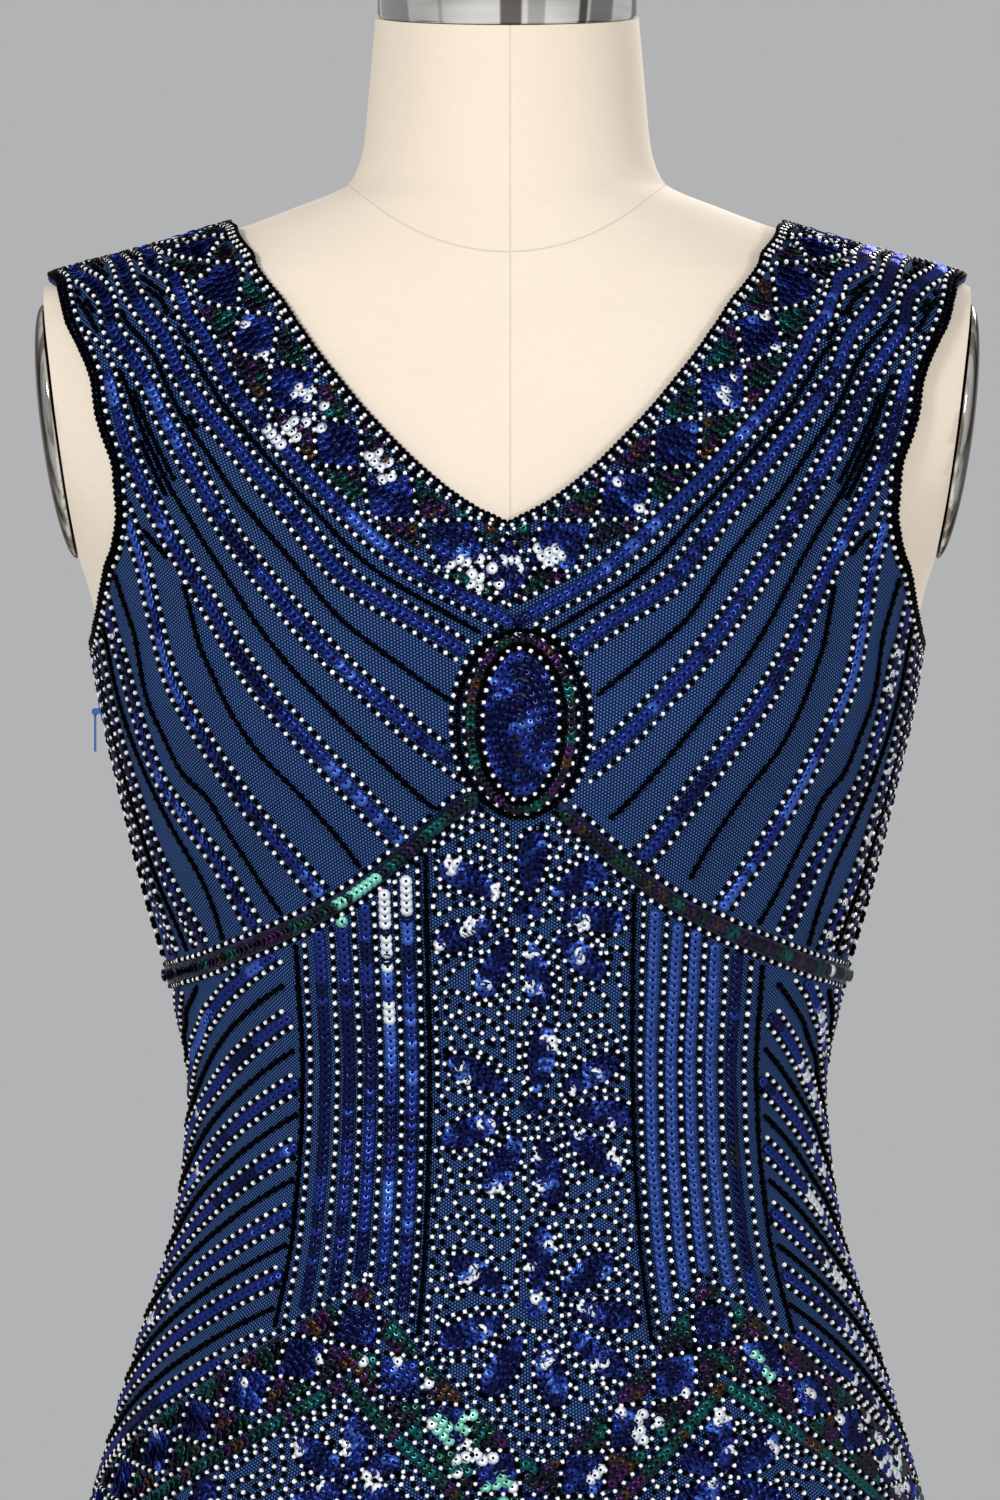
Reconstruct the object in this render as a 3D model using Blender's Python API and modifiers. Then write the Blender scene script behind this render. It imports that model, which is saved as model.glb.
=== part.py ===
# A sleeveless beaded evening dress worn by a limbless dress form on a pole and a round base.
# Metres, +Z up, the front faces -Y. The origin is the middle of the base's underside, on the floor.
import math

import bmesh
import bpy
import numpy as np
from mathutils import Matrix, Vector
from mathutils.geometry import delaunay_2d_cdt

# ---- The cloth ----
CLOTH_CLEARANCE = 0.0014  # form to the inside of the cloth
CLOTH_THICKNESS = 0.0016  # net and lining together
CLOTH_OUTSIDE = CLOTH_CLEARANCE + CLOTH_THICKNESS
SEAM_GAP = 0.0003
SEAM_HALF_GAP = 0.00022  # each panel stops this far from its seam line
FLAT_RADIUS = 0.15  # metres round the body for a radian, where panels are laid out flat
SEAM_HALF_ANGLE = SEAM_HALF_GAP / FLAT_RADIUS  # the same, round the body
SHOULDER_HALF_ANGLE = 2.2 * SEAM_HALF_ANGLE  # on the shoulder, where the body is shallower
SIDE_SEAM_ANGLE = math.radians(87)
SHOULDER_ANGLE = math.radians(90)

HEM_HEIGHT = 0.420
HEM_WAVE = 0.0065  # depth of the hem's soft folds
FOLD_MEAN = 0.25  # share of that depth by which the folds' valleys draw in
FOLD_START_HEIGHT = 0.860

# Faces: each panel of the bodice has a point at every column of the skirt.
SKIRT_FRONT_COLUMNS = 28
SKIRT_FRONT_ROWS = 21
SKIRT_BACK_COLUMNS = 24
SKIRT_BACK_ROWS = 18
BAND_SIDE_COLUMNS = 18
BAND_BACK_COLUMNS = 26
BODICE_FRONT_SPACING = 0.0150  # between the points that carry a bodice panel
BODICE_BACK_SPACING = 0.0165
OUTLINE_POINTS = {"neck": 14, "shoulder": 8, "arm": 17, "side": 10}

# ---- Trim. The cloth is cut in flats, so it starts a little further out than a seam gap. ----
BAND_CLEARANCE = 0.0006
BAND_HALF_WIDTH = 0.0035
BAND_THICKNESS = 0.0010
BAND_END_ANGLE = math.radians(0.6)  # each length stops this far from the side seam
MOTIF_CLEARANCE = 0.0011
MOTIF_CENTRE = (0.0053, 1.1804)  # x and height of the oval motif
MOTIF_HALF_SIZE = (0.0240, 0.0350)
MOTIF_DEPTH = 0.0016

# ---- The side zip's slider and pull tab ----
ZIP_PIN_HEIGHT = 1.1870
ZIP_PIN_RADIUS = 0.0005
ZIP_EYE_RADIUS = 0.0015
ZIP_EYE_HOLE_RADIUS = 0.0008
ZIP_EYE_HALF_WIDTH = 0.0015
ZIP_TAB_LENGTH = 0.0165
ZIP_TAB_HALF_WIDTH = 0.0038
ZIP_TAB_THICKNESS = 0.0010
ZIP_TAB_CORNERS = 24
SLIDER_SEAT = 0.0006  # above the cloth
SLIDER_THICKNESS = 0.0013
SLIDER_HALF_WIDTH = 0.0026
SLIDER_HALF_HEIGHT = 0.0045
EAR_HALF_HEIGHT = 0.0012
EAR_ROOT = 0.0005  # depth of each ear's root in the slider
EAR_RISE = 0.0011  # above the pin's axis
PIN_INSET = 0.0003  # the pin's ends lie this far inside the ears

# ---- The dress form and its stand ----
FORM_BOTTOM_HEIGHT = 0.715
FORM_SIDES = 40
FORM_RING_STEP = 0.018  # sections further apart than this get a ring half way between them
NECK_TOP_HEIGHT = 1.4705
NECK_TILT = 0.176  # rise of the neck's cut face towards the back
ARM_CUT_MIDDLE = (0.1815, 0.003, 1.301)
ARM_CUT_TILT = math.radians(7.5)
ARM_CUT_BLOCK = (0.080, 0.200, 0.240)  # depth, width and height of what is cut away
ARM_PLATE_HALF_HEIGHT = 0.0525
ARM_PLATE_HALF_DEPTH = 0.0400
ARM_PLATE_DOME = 0.0075
ARM_PLATE_RIM = 0.0016
ARM_PLATE_TAPER = 0.12  # the plate is this much broader at its top
CAP_RADIUS = 0.0530
CAP_DRUM_HEIGHT = 0.034
FLANGE_RADIUS = 0.045
FLANGE_HEIGHT = 0.008
POLE_RADIUS = 0.014
BASE_RADIUS = 0.172
BASE_HEIGHT = 0.032

# The form's level sections. Fullness above 0 squares a section's corners, below 0 draws them in.
FORM_COLUMNS = ("height", "half_width", "front", "back", "fullness", "tilt")
FORM_SECTIONS = [
    (0.715, 0.1580, 0.097, 0.104, 0.10, 0.0),
    (0.760, 0.1660, 0.106, 0.116, 0.10, 0.0),
    (0.830, 0.1700, 0.113, 0.126, 0.10, 0.0),
    (0.870, 0.1640, 0.113, 0.124, 0.10, 0.0),
    (0.930, 0.1465, 0.108, 0.110, 0.12, 0.0),
    (0.980, 0.1316, 0.100, 0.094, 0.14, 0.0),
    (1.030, 0.1262, 0.096, 0.084, 0.15, 0.0),
    (1.080, 0.1355, 0.101, 0.086, 0.15, 0.0),
    (1.116, 0.1455, 0.105, 0.091, 0.14, 0.0),
    (1.153, 0.1544, 0.109, 0.096, 0.12, 0.0),
    (1.190, 0.1627, 0.113, 0.101, 0.10, 0.0),
    (1.223, 0.1682, 0.113, 0.106, 0.08, 0.0),
    (1.243, 0.1735, 0.111, 0.108, 0.06, 0.0),
    (1.258, 0.1810, 0.109, 0.108, 0.04, 0.0),
    (1.280, 0.1955, 0.104, 0.108, 0.00, 0.0),
    (1.310, 0.2085, 0.096, 0.105, -0.05, 0.0),
    (1.338, 0.2105, 0.086, 0.099, -0.10, 0.0),
    (1.352, 0.2020, 0.080, 0.093, -0.15, 0.0),
    (1.3617, 0.1851, 0.076, 0.089, -0.18, 0.0),
    (1.3680, 0.1625, 0.0735, 0.0865, -0.20, 0.0),
    (1.3742, 0.1398, 0.071, 0.083, -0.20, 0.0),
    (1.3816, 0.1156, 0.068, 0.079, -0.18, 0.0),
    (1.3908, 0.0904, 0.065, 0.073, -0.12, 0.02),
    (1.4031, 0.0640, 0.062, 0.066, -0.05, 0.06),
    (1.4180, 0.0588, 0.060, 0.060, 0.00, 0.09),
    (1.4400, 0.0567, 0.059, 0.055, 0.00, 0.12),
    (1.4705, 0.0540, 0.058, 0.047, 0.00, 0.176),
]
# Where the skirt leaves the form and falls free, its own level sections take over.
SKIRT_SECTIONS = [
    (0.400, 0.2020, 0.144, 0.150, 0.04, 0.0),
    (0.600, 0.1890, 0.131, 0.139, 0.06, 0.0),
    (0.760, 0.1790, 0.119, 0.131, 0.09, 0.0),
    (0.830, 0.1738, 0.1158, 0.1292, 0.10, 0.0),
]
BUST = {
    "apex_x": 0.082,
    "apex_height": 1.166,
    "reach_x": 0.060,
    "reach_up": 0.064,
    "reach_down": 0.050,
    "depth": 0.021,
    "side_cosine": 0.45,  # it fades to nothing from this far round to the side
}

# Edges of the bodice. Columns: distance from the middle, height. The first row lies on the shoulder's ridge.
FRONT_NECKLINE = [
    (0.1105, 1.3832),
    (0.1090, 1.3795),
    (0.1068, 1.3745),
    (0.1000, 1.3640),
    (0.0886, 1.3483),
    (0.0714, 1.3234),
    (0.0511, 1.2990),
    (0.0330, 1.2806),
    (0.0150, 1.2664),
    (0.0000, 1.2588),
]
BACK_NECKLINE = [
    (0.1105, 1.3832),
    (0.1090, 1.3795),
    (0.1055, 1.3725),
    (0.0900, 1.3500),
    (0.0600, 1.3270),
    (0.0280, 1.3150),
    (0.0000, 1.3115),
]
FRONT_ARMHOLE = [
    (0.1840, 1.3621),
    (0.1815, 1.3560),
    (0.1742, 1.3365),
    (0.1645, 1.3118),
    (0.1575, 1.2880),
    (0.1545, 1.2690),
    (0.1558, 1.2540),
    (0.1598, 1.2410),
]
BACK_ARMHOLE = [
    (0.1840, 1.3621),
    (0.1822, 1.3560),
    (0.1765, 1.3365),
    (0.1700, 1.3118),
    (0.1660, 1.2880),
    (0.1604, 1.2690),
    (0.1576, 1.2510),
]
# Columns: degrees round the body from the middle of the front, height.
FRONT_UNDERARM = [(70.0, 1.2355), (76.0, 1.2240), (82.0, 1.2172), (87.0, 1.2150)]
BACK_UNDERARM = [(111.0, 1.2360), (104.0, 1.2230), (95.0, 1.2165), (87.0, 1.2150)]
UNDERBUST_SEAM = [
    (0.0, 1.1545),
    (6.0, 1.1505),
    (11.0, 1.1410),
    (17.0, 1.1280),
    (25.0, 1.1139),
    (37.5, 1.0997),
    (48.0, 1.0917),
    (64.0, 1.0834),
    (87.0, 1.0790),
    (180.0, 1.0790),
]
# The skirt's soft folds. Columns: degrees round the body, share of the full depth, half width in degrees.
FOLDS = [
    (-152, 0.8, 13),
    (-118, 1.0, 11),
    (-84, 0.7, 12),
    (-57, 0.9, 10),
    (-31, 0.6, 12),
    (4, 0.8, 13),
    (36, 1.0, 11),
    (63, 0.7, 10),
    (95, 1.0, 12),
    (128, 0.6, 11),
    (167, 0.9, 12),
]

COLOURS = {
    # name: base colour, roughness, metallic
    "beaded_cloth": ((0.035, 0.085, 0.26), 0.55, 0.0),
    "sequin_trim": ((0.02, 0.03, 0.22), 0.25, 0.6),
    "form_cover": ((0.85, 0.76, 0.66), 0.85, 0.0),
    "chrome": ((0.75, 0.75, 0.76), 0.12, 1.0),
    "brushed_steel": ((0.60, 0.59, 0.57), 0.32, 1.0),
    "blue_enamel": ((0.05, 0.14, 0.45), 0.30, 0.2),
    "stand_paint": ((0.62, 0.61, 0.59), 0.40, 0.6),
}


# ---- Smooth values through a short table ----
def smooth_value(at, knots, values):
    """Cubic through the knots that never overshoots them (monotone Hermite)."""
    knots, values = np.asarray(knots, float), np.asarray(values, float)
    at = np.clip(np.asarray(at, float), knots[0], knots[-1])
    steps = np.diff(knots)
    rises = np.diff(values) / steps
    inner = np.zeros(len(knots))
    same_way = rises[:-1] * rises[1:] > 0
    weight_a, weight_b = 2 * steps[1:] + steps[:-1], steps[1:] + 2 * steps[:-1]
    low, high = np.where(same_way, rises[:-1], 1), np.where(same_way, rises[1:], 1)
    inner[1:-1] = np.where(
        same_way, (weight_a + weight_b) / (weight_a / low + weight_b / high), 0
    )
    inner[0], inner[-1] = rises[0], rises[-1]
    cell = np.clip(np.searchsorted(knots, at, side="right") - 1, 0, len(steps) - 1)
    step = steps[cell]
    along = (at - knots[cell]) / step
    back = 1 - along
    return (
        values[cell] * (1 + 2 * along) * back**2
        + inner[cell] * step * along * back**2
        + values[cell + 1] * (3 - 2 * along) * along**2
        - inner[cell + 1] * step * along**2 * back
    )


def section_values(table, height):
    columns = list(zip(*table))
    return {
        name: smooth_value(height, columns[0], column)
        for name, column in zip(FORM_COLUMNS, columns)
    }


DRESS_SECTIONS = SKIRT_SECTIONS + [row for row in FORM_SECTIONS if row[0] > 0.85]


def ramp(value, start, end):
    """0 at start, 1 at end, with level ends."""
    share = np.clip((np.asarray(value, float) - start) / (end - start), 0, 1)
    return share * share * (3 - 2 * share)


def bust_depth(x, height):
    reach = np.where(height > BUST["apex_height"], BUST["reach_up"], BUST["reach_down"])
    across = (np.abs(x) - BUST["apex_x"]) / BUST["reach_x"]
    up = (height - BUST["apex_height"]) / reach
    return BUST["depth"] * np.exp(-(across**2) - up**2)


def fold_depth(angle, height):
    turned = np.zeros_like(angle)
    for middle, depth, reach in FOLDS:
        away = (angle - math.radians(middle) + math.pi) % (2 * math.pi) - math.pi
        turned = turned + depth * np.exp(-((away / math.radians(reach)) ** 2))
    return HEM_WAVE * (turned - FOLD_MEAN) * ramp(height, FOLD_START_HEIGHT, HEM_HEIGHT)


def surface(angle, height, table, folds=False):
    """Points of a skin: angle 0 is the middle of the front, a right angle is the +X side."""
    angle, height = np.broadcast_arrays(
        np.asarray(angle, float), np.asarray(height, float)
    )
    values = section_values(table, height)
    sine, cosine = np.sin(angle), np.cos(angle)
    depth = np.where(cosine > 0, values["front"], values["back"])
    x = values["half_width"] * sine
    bust = bust_depth(x, height) * ramp(cosine, 0, BUST["side_cosine"])
    y = -(depth + bust) * cosine * (1 + values["fullness"] * sine**2)
    if folds:
        fold = fold_depth(angle, height)
        x, y = x + fold * sine, y - fold * cosine
    return np.stack([x, y, height + values["tilt"] * y], axis=-1)


def outward(angle, height, table, folds=False):
    """The skin's outward unit normals, from small steps along it."""
    step_angle, step_height = 1e-3, 2e-4
    around = surface(angle + step_angle, height, table, folds) - surface(
        angle - step_angle, height, table, folds
    )
    up = surface(angle, height + step_height, table, folds) - surface(
        angle, height - step_height, table, folds
    )
    normal = np.cross(around, up)
    return normal / np.linalg.norm(normal, axis=-1, keepdims=True)


def cloth_points(angle, height, lift):
    """Points on the dress, this far outside the form's skin."""
    angle, height = np.broadcast_arrays(
        np.asarray(angle, float), np.asarray(height, float)
    )
    return surface(angle, height, DRESS_SECTIONS, True) + lift * outward(
        angle, height, DRESS_SECTIONS, True
    )


def angle_at(x, height):
    width = section_values(DRESS_SECTIONS, height)["half_width"]
    return np.arcsin(np.clip(x / width, -1, 1))


def underbust_height(angle):
    """Height of the arched seam under the bust. Behind the side seams it runs level."""
    degrees, heights = zip(*UNDERBUST_SEAM)
    from_middle = np.abs((angle + math.pi) % (2 * math.pi) - math.pi)
    return smooth_value(np.degrees(from_middle), degrees, heights)


# ---- Building blocks ----
def make_material(name):
    colour, roughness, metallic = COLOURS[name]
    material = bpy.data.materials.new(name)
    material.use_nodes = True
    shader = material.node_tree.nodes["Principled BSDF"]
    shader.inputs["Base Color"].default_value = (*colour, 1)
    shader.inputs["Roughness"].default_value = roughness
    shader.inputs["Metallic"].default_value = metallic
    material.diffuse_color = (*colour, 1)
    return material


def add_object(name, mesh, material, smooth_angle=50):
    obj = bpy.data.objects.new(name, mesh)
    parts.objects.link(obj)
    mesh.materials.append(materials[material])
    mesh.shade_smooth()
    mesh.set_sharp_from_angle(angle=math.radians(smooth_angle))
    return obj


def mesh_from(builder):
    mesh = bpy.data.meshes.new("mesh")
    builder.to_mesh(mesh)
    builder.free()
    return mesh


def bent_grid(points):
    """A plane grid, bent so that its vertices are points[row][column]. Faces look along rows x columns."""
    rows, columns = points.shape[:2]
    grid = bmesh.new()
    bmesh.ops.create_grid(
        grid, x_segments=columns - 1, y_segments=rows - 1, size=1
    )
    grid.verts.ensure_lookup_table()
    places = np.array([vertex.co for vertex in grid.verts])
    column = np.rint((places[:, 0] + 1) / 2 * (columns - 1)).astype(int)
    row = np.rint((places[:, 1] + 1) / 2 * (rows - 1)).astype(int)
    for vertex, r, c in zip(grid.verts, row, column):
        vertex.co = points[r, c]
    return grid


def cloth_wall(name, angles, heights, lift, thickness, material):
    """A wall on a grid of (angle, height), rows from low to high, thickened outwards."""
    points = cloth_points(np.broadcast_to(angles, heights.shape), heights, lift)
    thicken(add_object(name, mesh_from(bent_grid(points)), material), thickness)


def thicken(obj, thickness):
    solidify = obj.modifiers.new("wall", "SOLIDIFY")
    solidify.thickness = thickness
    solidify.offset = 1
    solidify.use_even_offset = True
    solidify.use_quality_normals = True


def along_path(path, shares):
    """Places at these shares of the length of a smooth path through a few (angle, height) points."""
    path = np.asarray(path, float)
    real = surface(path[:, 0], path[:, 1], DRESS_SECTIONS)
    lengths = np.concatenate(
        [[0], np.cumsum(np.linalg.norm(np.diff(real, axis=0), axis=1))]
    )
    at = np.asarray(shares) * lengths[-1]
    return np.stack(
        [smooth_value(at, lengths, path[:, 0]), smooth_value(at, lengths, path[:, 1])],
        axis=1,
    )


def edge_path(rows, from_back=False):
    """An edge table as (angle, height), with the first row exactly on the shoulder's ridge."""
    path = [(float(angle_at(x, z)), z) for x, z in rows]
    path[0] = (SHOULDER_ANGLE, rows[0][1])
    if from_back:
        path = [(math.pi - angle, z) for angle, z in path]
    return path


def in_radians(rows):
    return [(math.radians(angle), height) for angle, height in rows]


def flattened(points):
    """(angle, height) laid out flat: metres round the body and metres up its side profile."""
    points = np.asarray(points, float)
    return np.stack(
        [points[..., 0] * FLAT_RADIUS, np.interp(points[..., 1], PROFILE[0], PROFILE[1])], -1
    )


def unflattened(points):
    return np.stack(
        [points[..., 0] / FLAT_RADIUS, np.interp(points[..., 1], PROFILE[1], PROFILE[0])], -1
    )


def profile_lengths():
    """Lengths along the dress's side profile, from below the waist to above the shoulders."""
    heights = np.linspace(0.9, 1.41, 800)
    widths = section_values(DRESS_SECTIONS, heights)["half_width"]
    steps = np.hypot(np.diff(heights), np.diff(widths))
    return heights, np.concatenate([[0], np.cumsum(steps)])


def cut_panel(outline, middle, spacing):
    """Fill a panel's flat outline with even triangles: its points as (angle, height), and faces."""
    edge = flattened(outline)
    low, high = edge.min(axis=0), edge.max(axis=0)
    rows = np.arange(low[1] + spacing / 2, high[1], spacing * math.sin(math.radians(60)))
    half_count = int((high[0] - low[0]) / 2 / spacing) + 1
    columns = np.arange(-half_count, half_count + 1) * spacing + middle * FLAT_RADIUS
    lattice = np.array(
        [
            (column + (spacing / 2 if i % 2 else 0), row)
            for i, row in enumerate(rows)
            for column in columns
        ]
    )
    start, end = edge, np.roll(edge, -1, axis=0)
    run = end - start
    ahead = lattice[:, None] - start[None]
    share = np.clip((ahead * run).sum(-1) / (run**2).sum(-1), 0, 1)
    distance = np.linalg.norm(ahead - share[..., None] * run, axis=-1).min(axis=1)
    above = (start[:, 1] > lattice[:, 1:]) != (end[:, 1] > lattice[:, 1:])
    rise = np.where(run[:, 1] == 0, 1e-12, run[:, 1])
    crossing = start[:, 0] + (lattice[:, 1:] - start[:, 1]) / rise * run[:, 0]
    inside = (above & (lattice[:, :1] < crossing)).sum(axis=1) % 2 == 1
    edge_margin = 0.55 * spacing
    kept = lattice[inside & (distance > edge_margin)]
    flat = np.vstack([edge, kept])
    result = delaunay_2d_cdt(
        [Vector(point) for point in flat], [], [list(range(len(edge)))], 1, 1e-7
    )
    return unflattened(np.array(result[0])), [tuple(face) for face in result[2]]


def panel_wall(name, outline, middle, spacing, material):
    """A cloth panel cut to its outline, laid on the form and thickened outwards."""
    points, faces = cut_panel(outline, middle, spacing)
    mesh = bpy.data.meshes.new(name)
    places = cloth_points(points[:, 0], points[:, 1], CLOTH_CLEARANCE)
    mesh.from_pydata([tuple(place) for place in places], [], faces)
    thicken(add_object(name, mesh, material), CLOTH_THICKNESS)


def bodice_outline(neckline, armhole, middle, skirt_columns):
    """The closed outline of a bodice panel, from the middle of its neckline round the +X side."""
    toward_middle = np.sign(middle - SIDE_SEAM_ANGLE)
    side = SIDE_SEAM_ANGLE + SEAM_HALF_ANGLE * toward_middle
    shoulder = SHOULDER_ANGLE + SHOULDER_HALF_ANGLE * toward_middle
    ridge_path = [(shoulder, neckline[0][1]), (shoulder, armhole[0][1])]
    neck = along_path(neckline, np.linspace(1, 0, OUTLINE_POINTS["neck"]))
    ridge = along_path(ridge_path, np.linspace(0, 1, OUTLINE_POINTS["shoulder"]))
    arm = along_path(armhole, np.linspace(0, 1, OUTLINE_POINTS["arm"]))
    neck[-1, 0] = arm[0, 0] = shoulder
    arm[-1, 0] = side
    seam_angles = np.linspace(side, middle, skirt_columns // 2 + 1)
    seam = np.stack(
        [seam_angles, underbust_height(seam_angles) + 2 * SEAM_HALF_GAP], axis=1
    )
    side_heights = np.linspace(armhole[-1][1], seam[0, 1], OUTLINE_POINTS["side"])[1:-1]
    side_line = np.stack([np.full_like(side_heights, side), side_heights], axis=1)
    half = np.vstack([neck, ridge[1:-1], arm, side_line, seam])
    mirrored = np.stack([2 * middle - half[:, 0], half[:, 1]], axis=1)
    return np.vstack([half, mirrored[::-1][1:-1]])


# ---- The dress ----
def make_bodice():
    front = bodice_outline(
        edge_path(FRONT_NECKLINE),
        edge_path(FRONT_ARMHOLE) + in_radians(FRONT_UNDERARM),
        0.0,
        SKIRT_FRONT_COLUMNS,
    )
    back = bodice_outline(
        edge_path(BACK_NECKLINE, True),
        edge_path(BACK_ARMHOLE, True) + in_radians(BACK_UNDERARM),
        math.pi,
        SKIRT_BACK_COLUMNS,
    )
    panel_wall("bodice_front", front, 0.0, BODICE_FRONT_SPACING, "beaded_cloth")
    panel_wall("bodice_back", back, math.pi, BODICE_BACK_SPACING, "beaded_cloth")


def make_skirt():
    """Two tapered panels that hang from the seam under the bust to the hem."""
    front = (-SIDE_SEAM_ANGLE, SIDE_SEAM_ANGLE, SKIRT_FRONT_COLUMNS, SKIRT_FRONT_ROWS)
    back = (SIDE_SEAM_ANGLE, 2 * math.pi - SIDE_SEAM_ANGLE, SKIRT_BACK_COLUMNS, SKIRT_BACK_ROWS)
    for name, (start, end, columns, rows) in (("skirt_front", front), ("skirt_back", back)):
        angles = np.linspace(start + SEAM_HALF_ANGLE, end - SEAM_HALF_ANGLE, columns + 1)
        top = underbust_height(angles) - 2 * SEAM_HALF_GAP
        up = np.linspace(0, 1, rows + 1)[:, None]
        heights = HEM_HEIGHT * (1 - up) + top * up
        cloth_wall(name, angles, heights, CLOTH_CLEARANCE, CLOTH_THICKNESS, "beaded_cloth")


def band_end(side):
    """The angle at which the band's upper corner comes to the oval motif."""
    angle = 0.0
    for _ in range(5):
        corner_height = float(underbust_height(angle)) + BAND_HALF_WIDTH
        drop = (corner_height - MOTIF_CENTRE[1]) / MOTIF_HALF_SIZE[1]
        reach = MOTIF_HALF_SIZE[0] * math.sqrt(1 - min(drop**2, 1)) + MOTIF_CLEARANCE
        angle = float(angle_at(MOTIF_CENTRE[0] + side * reach, corner_height))
    return angle


def make_underbust_band():
    """The trim that covers the seam under the bust, in three lengths that stop at the oval and the sides."""
    front_side = SIDE_SEAM_ANGLE - BAND_END_ANGLE
    back_side = SIDE_SEAM_ANGLE + BAND_END_ANGLE
    lengths = (
        ("underbust_band_left", -front_side, band_end(-1), BAND_SIDE_COLUMNS),
        ("underbust_band_right", band_end(1), front_side, BAND_SIDE_COLUMNS),
        ("underbust_band_back", back_side, 2 * math.pi - back_side, BAND_BACK_COLUMNS),
    )
    lift = CLOTH_OUTSIDE + BAND_CLEARANCE
    for name, start, end, columns in lengths:
        angles = np.linspace(start, end, columns + 1)
        middle = underbust_height(angles)
        heights = np.stack([middle - BAND_HALF_WIDTH, middle + BAND_HALF_WIDTH])
        cloth_wall(name, angles, heights, lift, BAND_THICKNESS, "sequin_trim")


def make_oval_motif():
    """The padded oval below the neckline: a round body pressed flat on the cloth."""
    ball = bmesh.new()
    bmesh.ops.create_uvsphere(ball, u_segments=20, v_segments=8, radius=1)
    unit = np.array([vertex.co for vertex in ball.verts])
    x = MOTIF_CENTRE[0] + MOTIF_HALF_SIZE[0] * unit[:, 0]
    height = MOTIF_CENTRE[1] + MOTIF_HALF_SIZE[1] * unit[:, 1]
    angle = angle_at(x, height)
    base = surface(angle, height, DRESS_SECTIONS, True)
    normal = outward(angle, height, DRESS_SECTIONS, True)
    lift = CLOTH_OUTSIDE + MOTIF_CLEARANCE + MOTIF_DEPTH * (0.5 + 0.5 * unit[:, 2])
    for vertex, place in zip(ball.verts, base + lift[:, None] * normal):
        vertex.co = place
    add_object("oval_motif", mesh_from(ball), "sequin_trim")


# ---- The side zip ----
def zip_frame():
    """The slider's place on the left side seam: X out of the cloth, Y along the pin, Z up the seam."""
    angle = -SIDE_SEAM_ANGLE
    place = Vector(cloth_points(angle, ZIP_PIN_HEIGHT, CLOTH_OUTSIDE))
    out = Vector(outward(angle, ZIP_PIN_HEIGHT, DRESS_SECTIONS))
    pin = Vector((0, 0, 1)).cross(out).normalized()
    return place, out, pin


def framed(place, x_axis, y_axis):
    z_axis = x_axis.cross(y_axis)
    columns = Matrix((x_axis, y_axis, z_axis)).transposed()
    return Matrix.Translation(place) @ columns.to_4x4()


def placed(name, mesh, matrix, material=None):
    """A piece with its material, or without one a helper for a Boolean."""
    obj = bpy.data.objects.new(name, mesh)
    obj.matrix_world = matrix
    if material:
        parts.objects.link(obj)
        mesh.materials.append(materials[material])
    else:
        helpers.objects.link(obj)
        obj.hide_render = True
        obj.display_type = "WIRE"
    return obj


def box_mesh(low, high):
    box = bmesh.new()
    bmesh.ops.create_cube(box, size=1)
    low, high = Vector(low), Vector(high)
    for vertex in box.verts:
        vertex.co = Vector(
            (low[i] + high[i]) / 2 + vertex.co[i] * (high[i] - low[i]) for i in range(3)
        )
    return mesh_from(box)


def rod_mesh(radius, half_length, out, sides=12):
    """A cylinder along local Y, this far out."""
    rod = bmesh.new()
    bmesh.ops.create_cone(
        rod,
        cap_ends=True,
        segments=sides,
        radius1=radius,
        radius2=radius,
        depth=2 * half_length,
    )
    bmesh.ops.rotate(rod, verts=rod.verts, matrix=Matrix.Rotation(math.pi / 2, 3, "X"))
    bmesh.ops.translate(rod, verts=rod.verts, vec=(out, 0, 0))
    return mesh_from(rod)


def boolean(obj, other, operation):
    modifier = obj.modifiers.new(other.name, "BOOLEAN")
    modifier.operation = operation
    modifier.solver = "EXACT"
    modifier.object = other


def tab_mesh():
    """The pull tab's drop-shaped plate, which hangs from the pin's axis and is widest near its round end."""
    drop = bmesh.new()
    outline = []
    for turn in np.linspace(0, 2 * math.pi, ZIP_TAB_CORNERS, endpoint=False):
        reach = (1 - math.cos(turn)) / 2  # 0 at the eye, 1 at the round lower end
        swell = (ZIP_TAB_HALF_WIDTH - ZIP_EYE_HALF_WIDTH) * float(ramp(reach, 0.1, 0.8))
        width = math.copysign(min(1.0, 2.2 * abs(math.sin(turn))) ** 0.8, math.sin(turn))
        corner = (
            -ZIP_TAB_THICKNESS / 2,
            width * (ZIP_EYE_HALF_WIDTH + swell),
            -reach * ZIP_TAB_LENGTH,
        )
        outline.append(drop.verts.new(corner))
    face = drop.faces.new(outline)
    pulled = bmesh.ops.extrude_face_region(drop, geom=[face])["geom"]
    moved = [item for item in pulled if isinstance(item, bmesh.types.BMVert)]
    bmesh.ops.translate(drop, verts=moved, vec=(ZIP_TAB_THICKNESS, 0, 0))
    bmesh.ops.recalc_face_normals(drop, faces=drop.faces)
    return mesh_from(drop)


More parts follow.
